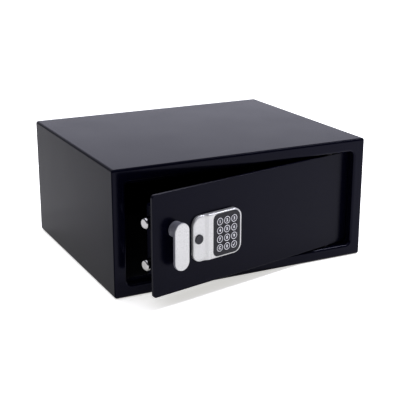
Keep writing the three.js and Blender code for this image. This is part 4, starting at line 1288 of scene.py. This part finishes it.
@dataclass
class Keypad(Group):
    """The silver housing with its keypad plate, keys, printed figures and keyhole disc."""

    corner: float = 14.0
    low: float = 5.0
    step_start: float = 20.0
    step_run: float = 7.0
    step_cuts: int = 8
    edge: float = 2.1
    flare: float = 1.2
    lip: float = 0.3
    groove_slope: float = 0.35
    groove_floor: float = 0.2
    groove_depth: float = 0.23
    wall: float = 2.0
    panel_corner: float = 11.0
    panel_left_corner: float = 8.0
    panel_left: float = 18.0
    fit: float = 0.3
    ledge: float = 2.0
    ring_outer: float = 5.5
    ring_stroke: float = 0.75
    ink: float = 0.06
    figure_size: float = 6.2
    key_edge: float = 0.22
    key_flange: float = 0.6
    key_hole: float = 6.0
    disc_hole: float = 4.3
    disc_stub: float = 4.0
    disc_cap: float = 1.3
    disc_dish: float = 0.15
    disc_dish_inset: float = 2.2
    disc_ring_inset: float = 1.4
    disc_soft: float = 0.4
    figures: dict = field(default_factory=lambda: {
        **{str(i): str(i) for i in range(10)}, "star": "C", "hash": TICK})

    def build(self) -> None:
        """Builds the housing and everything on it."""
        self.build_housing()
        self.build_plate()
        self.build_keys()
        self.build_disc()

    def build_housing(self) -> None:
        """Moulds the housing, low on the left and raised on the right."""
        box = self.box("keypad_housing")
        box = replace(box, x0=box.x0 - self.flare)
        door_front = self.box("door_plate").y0
        low_front = door_front - self.low
        lift = low_front - box.y0
        bm = plate(box.deep(low_front, box.y1), self.corner, self.edge, steps=14, edge_steps=5)
        front = min(bm.faces, key=lambda face: face.calc_center_median().y)
        for inset, rise in ((self.lip, 0.0), (self.groove_slope, -self.groove_depth),
                            (self.groove_floor, 0.0), (self.groove_slope, self.groove_depth)):
            bmesh.ops.inset_individual(bm, faces=[front], thickness=inset, depth=rise)
        floor = low_front + self.groove_depth
        start = box.x0 + self.step_start
        for index in range(self.step_cuts + 1):
            x = start + self.step_run * index / self.step_cuts
            bmesh.ops.bisect_plane(bm, geom=bm.verts[:] + bm.edges[:] + bm.faces[:],
                                   dist=TINY / 10, plane_co=(x, 0, 0), plane_no=(1, 0, 0))
        for vertex in bm.verts:
            along = min(max((vertex.co.x - start) / self.step_run, 0.0), 1.0)
            if abs(vertex.co.y - floor) < TINY:
                vertex.co.y -= self.groove_depth * along
            if vertex.co.y < low_front + self.edge + TINY:
                vertex.co.y -= lift * along * along * (3 - 2 * along)
        housing = combine(bm, self.hollows(box, low_front), Join.CUT)
        self.dress(housing, "keypad_shell", "door", SILVER_LACQUER, "satin_silver",
                   "keypad_housing", edge=0.25)

    def hollows(self, box: Box, low_front: float) -> list[BMesh]:
        """Makes what is cut from the housing.

        Args:
            box: the housing's box.
            low_front: the front of its low part.

        Returns:
            The hollow behind, the window, the recess of the plate, and the disc's seat.
        """
        panel = self.box("keypad_panel")
        board = self.box("keypad_board")
        disc = self.box("keyhole_disc")
        inner = box.grown(-self.wall)
        radius = self.corner - self.wall
        ledge_rear = panel.y1 + self.fit + self.wall
        high = Box(board.x0 - self.fit, inner.x1, ledge_rear, box.y1 + OVER, inner.z0, inner.z1)
        window = panel.grown(-self.ledge)
        recess = panel.grown(self.fit)
        return [
            plate(inner.deep(low_front + self.wall, box.y1 + OVER), radius),
            plate(high, radius),
            plate(window.deep(panel.y1, ledge_rear + OVER), self.panel_corner - self.ledge),
            self.panel_outline(recess.deep(box.y0 - OVER, panel.y1 + self.fit), self.fit),
            rod(self.disc_hole, low_front - OVER, box.y1, disc),
        ]

    def panel_outline(self, box: Box, wider: float) -> BMesh:
        """Makes a plate with the panel's outline, whose left corners are tighter.

        Args:
            box: its box.
            wider: how much further out it reaches than the panel.

        Returns:
            The mesh.
        """
        left = replace(box, x1=box.x0 + self.panel_left)
        return combine(plate(box, self.panel_corner + wider, steps=12),
                       [plate(left, self.panel_left_corner + wider, steps=9)], Join.ADD)

    def build_plate(self) -> None:
        """Makes the dark plate round the keys."""
        box = self.box("keypad_panel")
        holes = []
        for name in self.figures:
            key = self.box(f"key_{name}")
            holes.append(rod(self.key_hole, box.y0 - OVER, box.y1 + OVER, key, steps=40))
        bm = combine(self.panel_outline(box, 0.0), holes, Join.CUT)
        self.dress(bm, "keypad_face", "door", PANEL_ABS, "panel", "keypad_panel", edge=0.2)

    def build_keys(self) -> None:
        """Makes the twelve keys, each with its printed ring and figure."""
        panel = self.box("keypad_panel")
        for name, figure in self.figures.items():
            node = f"key_{name}"
            box = self.box(node)
            flange = box.width / 2
            rim = flange - self.key_flange
            shoulder = panel.y1 + self.fit
            profile = [(0, box.y0), (rim - self.key_edge, box.y0), (rim, box.y0 + self.key_edge),
                       (rim, shoulder), (flange, shoulder), (flange, box.y1), (0, box.y1)]
            self.dress(turned(profile, box, steps=40), f"button_{name}", f"button_{name}",
                       KEY_RUBBER, "key_rubber", node)
            self.dress(self.print_of(figure, box), f"figure_{name}", f"button_{name}", KEY_INK,
                       "key_rubber")

    def print_of(self, figure: str, box: Box) -> BMesh:
        """Makes the ink on one key.

        Args:
            figure: what is printed in the ring.
            box: the key's box.

        Returns:
            The ring and the figure, just proud of the key.
        """
        inner = self.ring_outer - self.ring_stroke
        rear = box.y0 - self.ink / 4
        front = rear - self.ink
        ring = turned([(inner, front), (self.ring_outer, front), (self.ring_outer, rear),
                       (inner, rear)], box, steps=40, closed=True)
        if figure == TICK:
            sign = tick_mark(self.figure_size, self.ink)
        else:
            sign = lettering(figure, self.figure_size, self.ink)
        bmesh.ops.translate(sign, verts=sign.verts, vec=(box.x, rear - self.ink / 2, box.z))
        return merge([ring, sign])

    def build_disc(self) -> None:
        """Makes the plain disc that covers the emergency keyhole."""
        box = self.box("keyhole_disc")
        rim, stub, soft = box.width / 2, self.disc_stub, self.disc_soft
        seat, dish = box.y0 + self.disc_cap, box.y0 + self.disc_dish
        profile = [(0, dish), (rim - self.disc_dish_inset, dish),
                   (rim - self.disc_ring_inset, box.y0), (rim - soft, box.y0),
                   (rim, box.y0 + soft), (rim, seat), (stub, seat), (stub, box.y1 - soft),
                   (stub - soft, box.y1), (0, box.y1)]
        self.dress(turned(profile, box), "keyhole_cap", "disc", DARK_ACRYLIC, "disc",
                   "keyhole_disc")


# The studio


@dataclass
class Studio:
    """The camera, the pale floor and the soft light.

    The floor glows a little, like a light table, so that it comes out white and the pieces near it
    are lit from below.
    """

    focal_px: float = 949.0
    image_px: float = 400.0
    sensor_mm: float = 36.0
    azimuth: float = math.radians(-26.59)
    elevation: float = math.radians(17.43)
    distance_mm: float = 1397.0
    target_mm: tuple[float, float, float] = (-77.6, 0.0, 133.0)
    floor_half: float = 12.0
    floor_drop: float = 0.0003
    floor_colour: str = "#FDFCF8"
    floor_glow: float = 0.62
    sky_colour: tuple[float, float, float, float] = (0.97, 0.97, 1.13, 1.0)
    sky_front: float = 0.12
    sky_back: float = 1.8
    sky_slope: tuple[float, float, float] = (0.6, 0.7, 0.4)

    def build(self) -> None:
        """Sets up the camera, the floor and the lights."""
        self.build_camera()
        self.build_floor()
        self.build_light()

    def build_camera(self) -> None:
        """Stands the camera where the photograph was taken from."""
        data = bpy.data.cameras.new("camera")
        data.sensor_width = self.sensor_mm
        data.lens = self.focal_px / self.image_px * self.sensor_mm
        data.clip_end = 50.0
        camera = bpy.data.objects.new("camera", data)
        bpy.context.scene.collection.objects.link(camera)
        level = math.cos(self.elevation)
        back = Vector((math.sin(self.azimuth) * level, -math.cos(self.azimuth) * level,
                       math.sin(self.elevation)))
        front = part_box("front_frame")[0][1]
        target = Vector(self.target_mm) * MM + Vector((0, front, 0))
        side = Vector((0, 0, 1)).cross(back).normalized()
        turn = Matrix((side, back.cross(side), back)).transposed().to_4x4()
        camera.matrix_world = Matrix.Translation(target + back * self.distance_mm * MM) @ turn
        bpy.context.scene.camera = camera

    def build_floor(self) -> None:
        """Lays the plain pale floor."""
        bm = bmesh.new()
        bmesh.ops.create_grid(bm, x_segments=1, y_segments=1, size=self.floor_half)
        bmesh.ops.translate(bm, verts=bm.verts, vec=(0, 0, -self.floor_drop))
        mesh = bpy.data.meshes.new("floor")
        bm.to_mesh(mesh)
        bm.free()
        floor = bpy.data.objects.new("floor", mesh)
        bpy.context.scene.collection.objects.link(floor)
        paper = bpy.data.materials.new("white_backdrop_paper")
        paper.use_nodes = True
        pale = linear(self.floor_colour)
        feed(paper.node_tree.nodes["Principled BSDF"], {
            "Base Color": pale, "Emission Color": pale, "Emission Strength": self.floor_glow,
            "Roughness": 0.9, "Specular IOR Level": 0.1})
        mesh.materials.append(paper)

    def build_light(self) -> None:
        """Lights the scene from a sky that is bright behind and above, and from soft boxes."""
        scene = bpy.context.scene
        scene.view_settings.view_transform = "Standard"
        world = bpy.data.worlds.new("studio")
        world.use_nodes = True
        tree = world.node_tree
        way = add_node(tree, "TexCoord").outputs["Generated"]
        height = add_node(tree, "VectorMath", {0: way, 1: self.sky_slope},
                          operation="DOT_PRODUCT")
        level = add_node(tree, "MapRange", {
            "Value": height.outputs["Value"], "From Min": 0.1, "From Max": 1.0,
            "To Min": self.sky_front, "To Max": self.sky_back}, interpolation_type="SMOOTHSTEP")
        feed(tree.nodes["Background"], {
            "Color": self.sky_colour, "Strength": level.outputs["Result"]})
        scene.world = world
        for box in SOFT_BOXES:
            box.hang()


@dataclass(frozen=True)
class SoftBox:
    """A soft box, in metres and watts."""

    name: str
    place: tuple[float, float, float]
    aim: tuple[float, float, float]
    width: float
    depth: float
    power: float
    colour: tuple[float, float, float] = (0.97, 0.98, 1.09)

    def hang(self) -> None:
        """Hangs the box, with its face to the point that it lights."""
        data = bpy.data.lights.new(self.name, "AREA")
        data.shape = "RECTANGLE"
        data.size = self.width
        data.size_y = self.depth
        data.energy = self.power
        data.color = self.colour
        lamp = bpy.data.objects.new(self.name, data)
        lamp.location = self.place
        away = Vector(self.place) - Vector(self.aim)
        lamp.rotation_euler = away.to_track_quat("Z", "Y").to_euler()
        lamp.visible_camera = False
        bpy.context.scene.collection.objects.link(lamp)


SOFT_BOXES = (
    SoftBox("edge_strip", (0.88, -0.4, 1.37), (0.88, -0.4, 0.0), 0.7, 0.1, 15.0),
    SoftBox("floor_box", (-0.8, -0.1, 3.0), (-0.3, 0.0, 0.0), 3.0, 3.0, 48.0),
)


def main() -> None:
    """Builds the scene in order."""
    logging.basicConfig(level=logging.INFO, format="%(name)s: %(message)s")
    Studio().build()
    door = door_turn()
    Case(Matrix.Identity(4)).build()
    Door(door).build()
    Handle(door).build()
    BoltWork(door).build()
    Keypad(door).build()


if __name__ == "__main__":
    main()
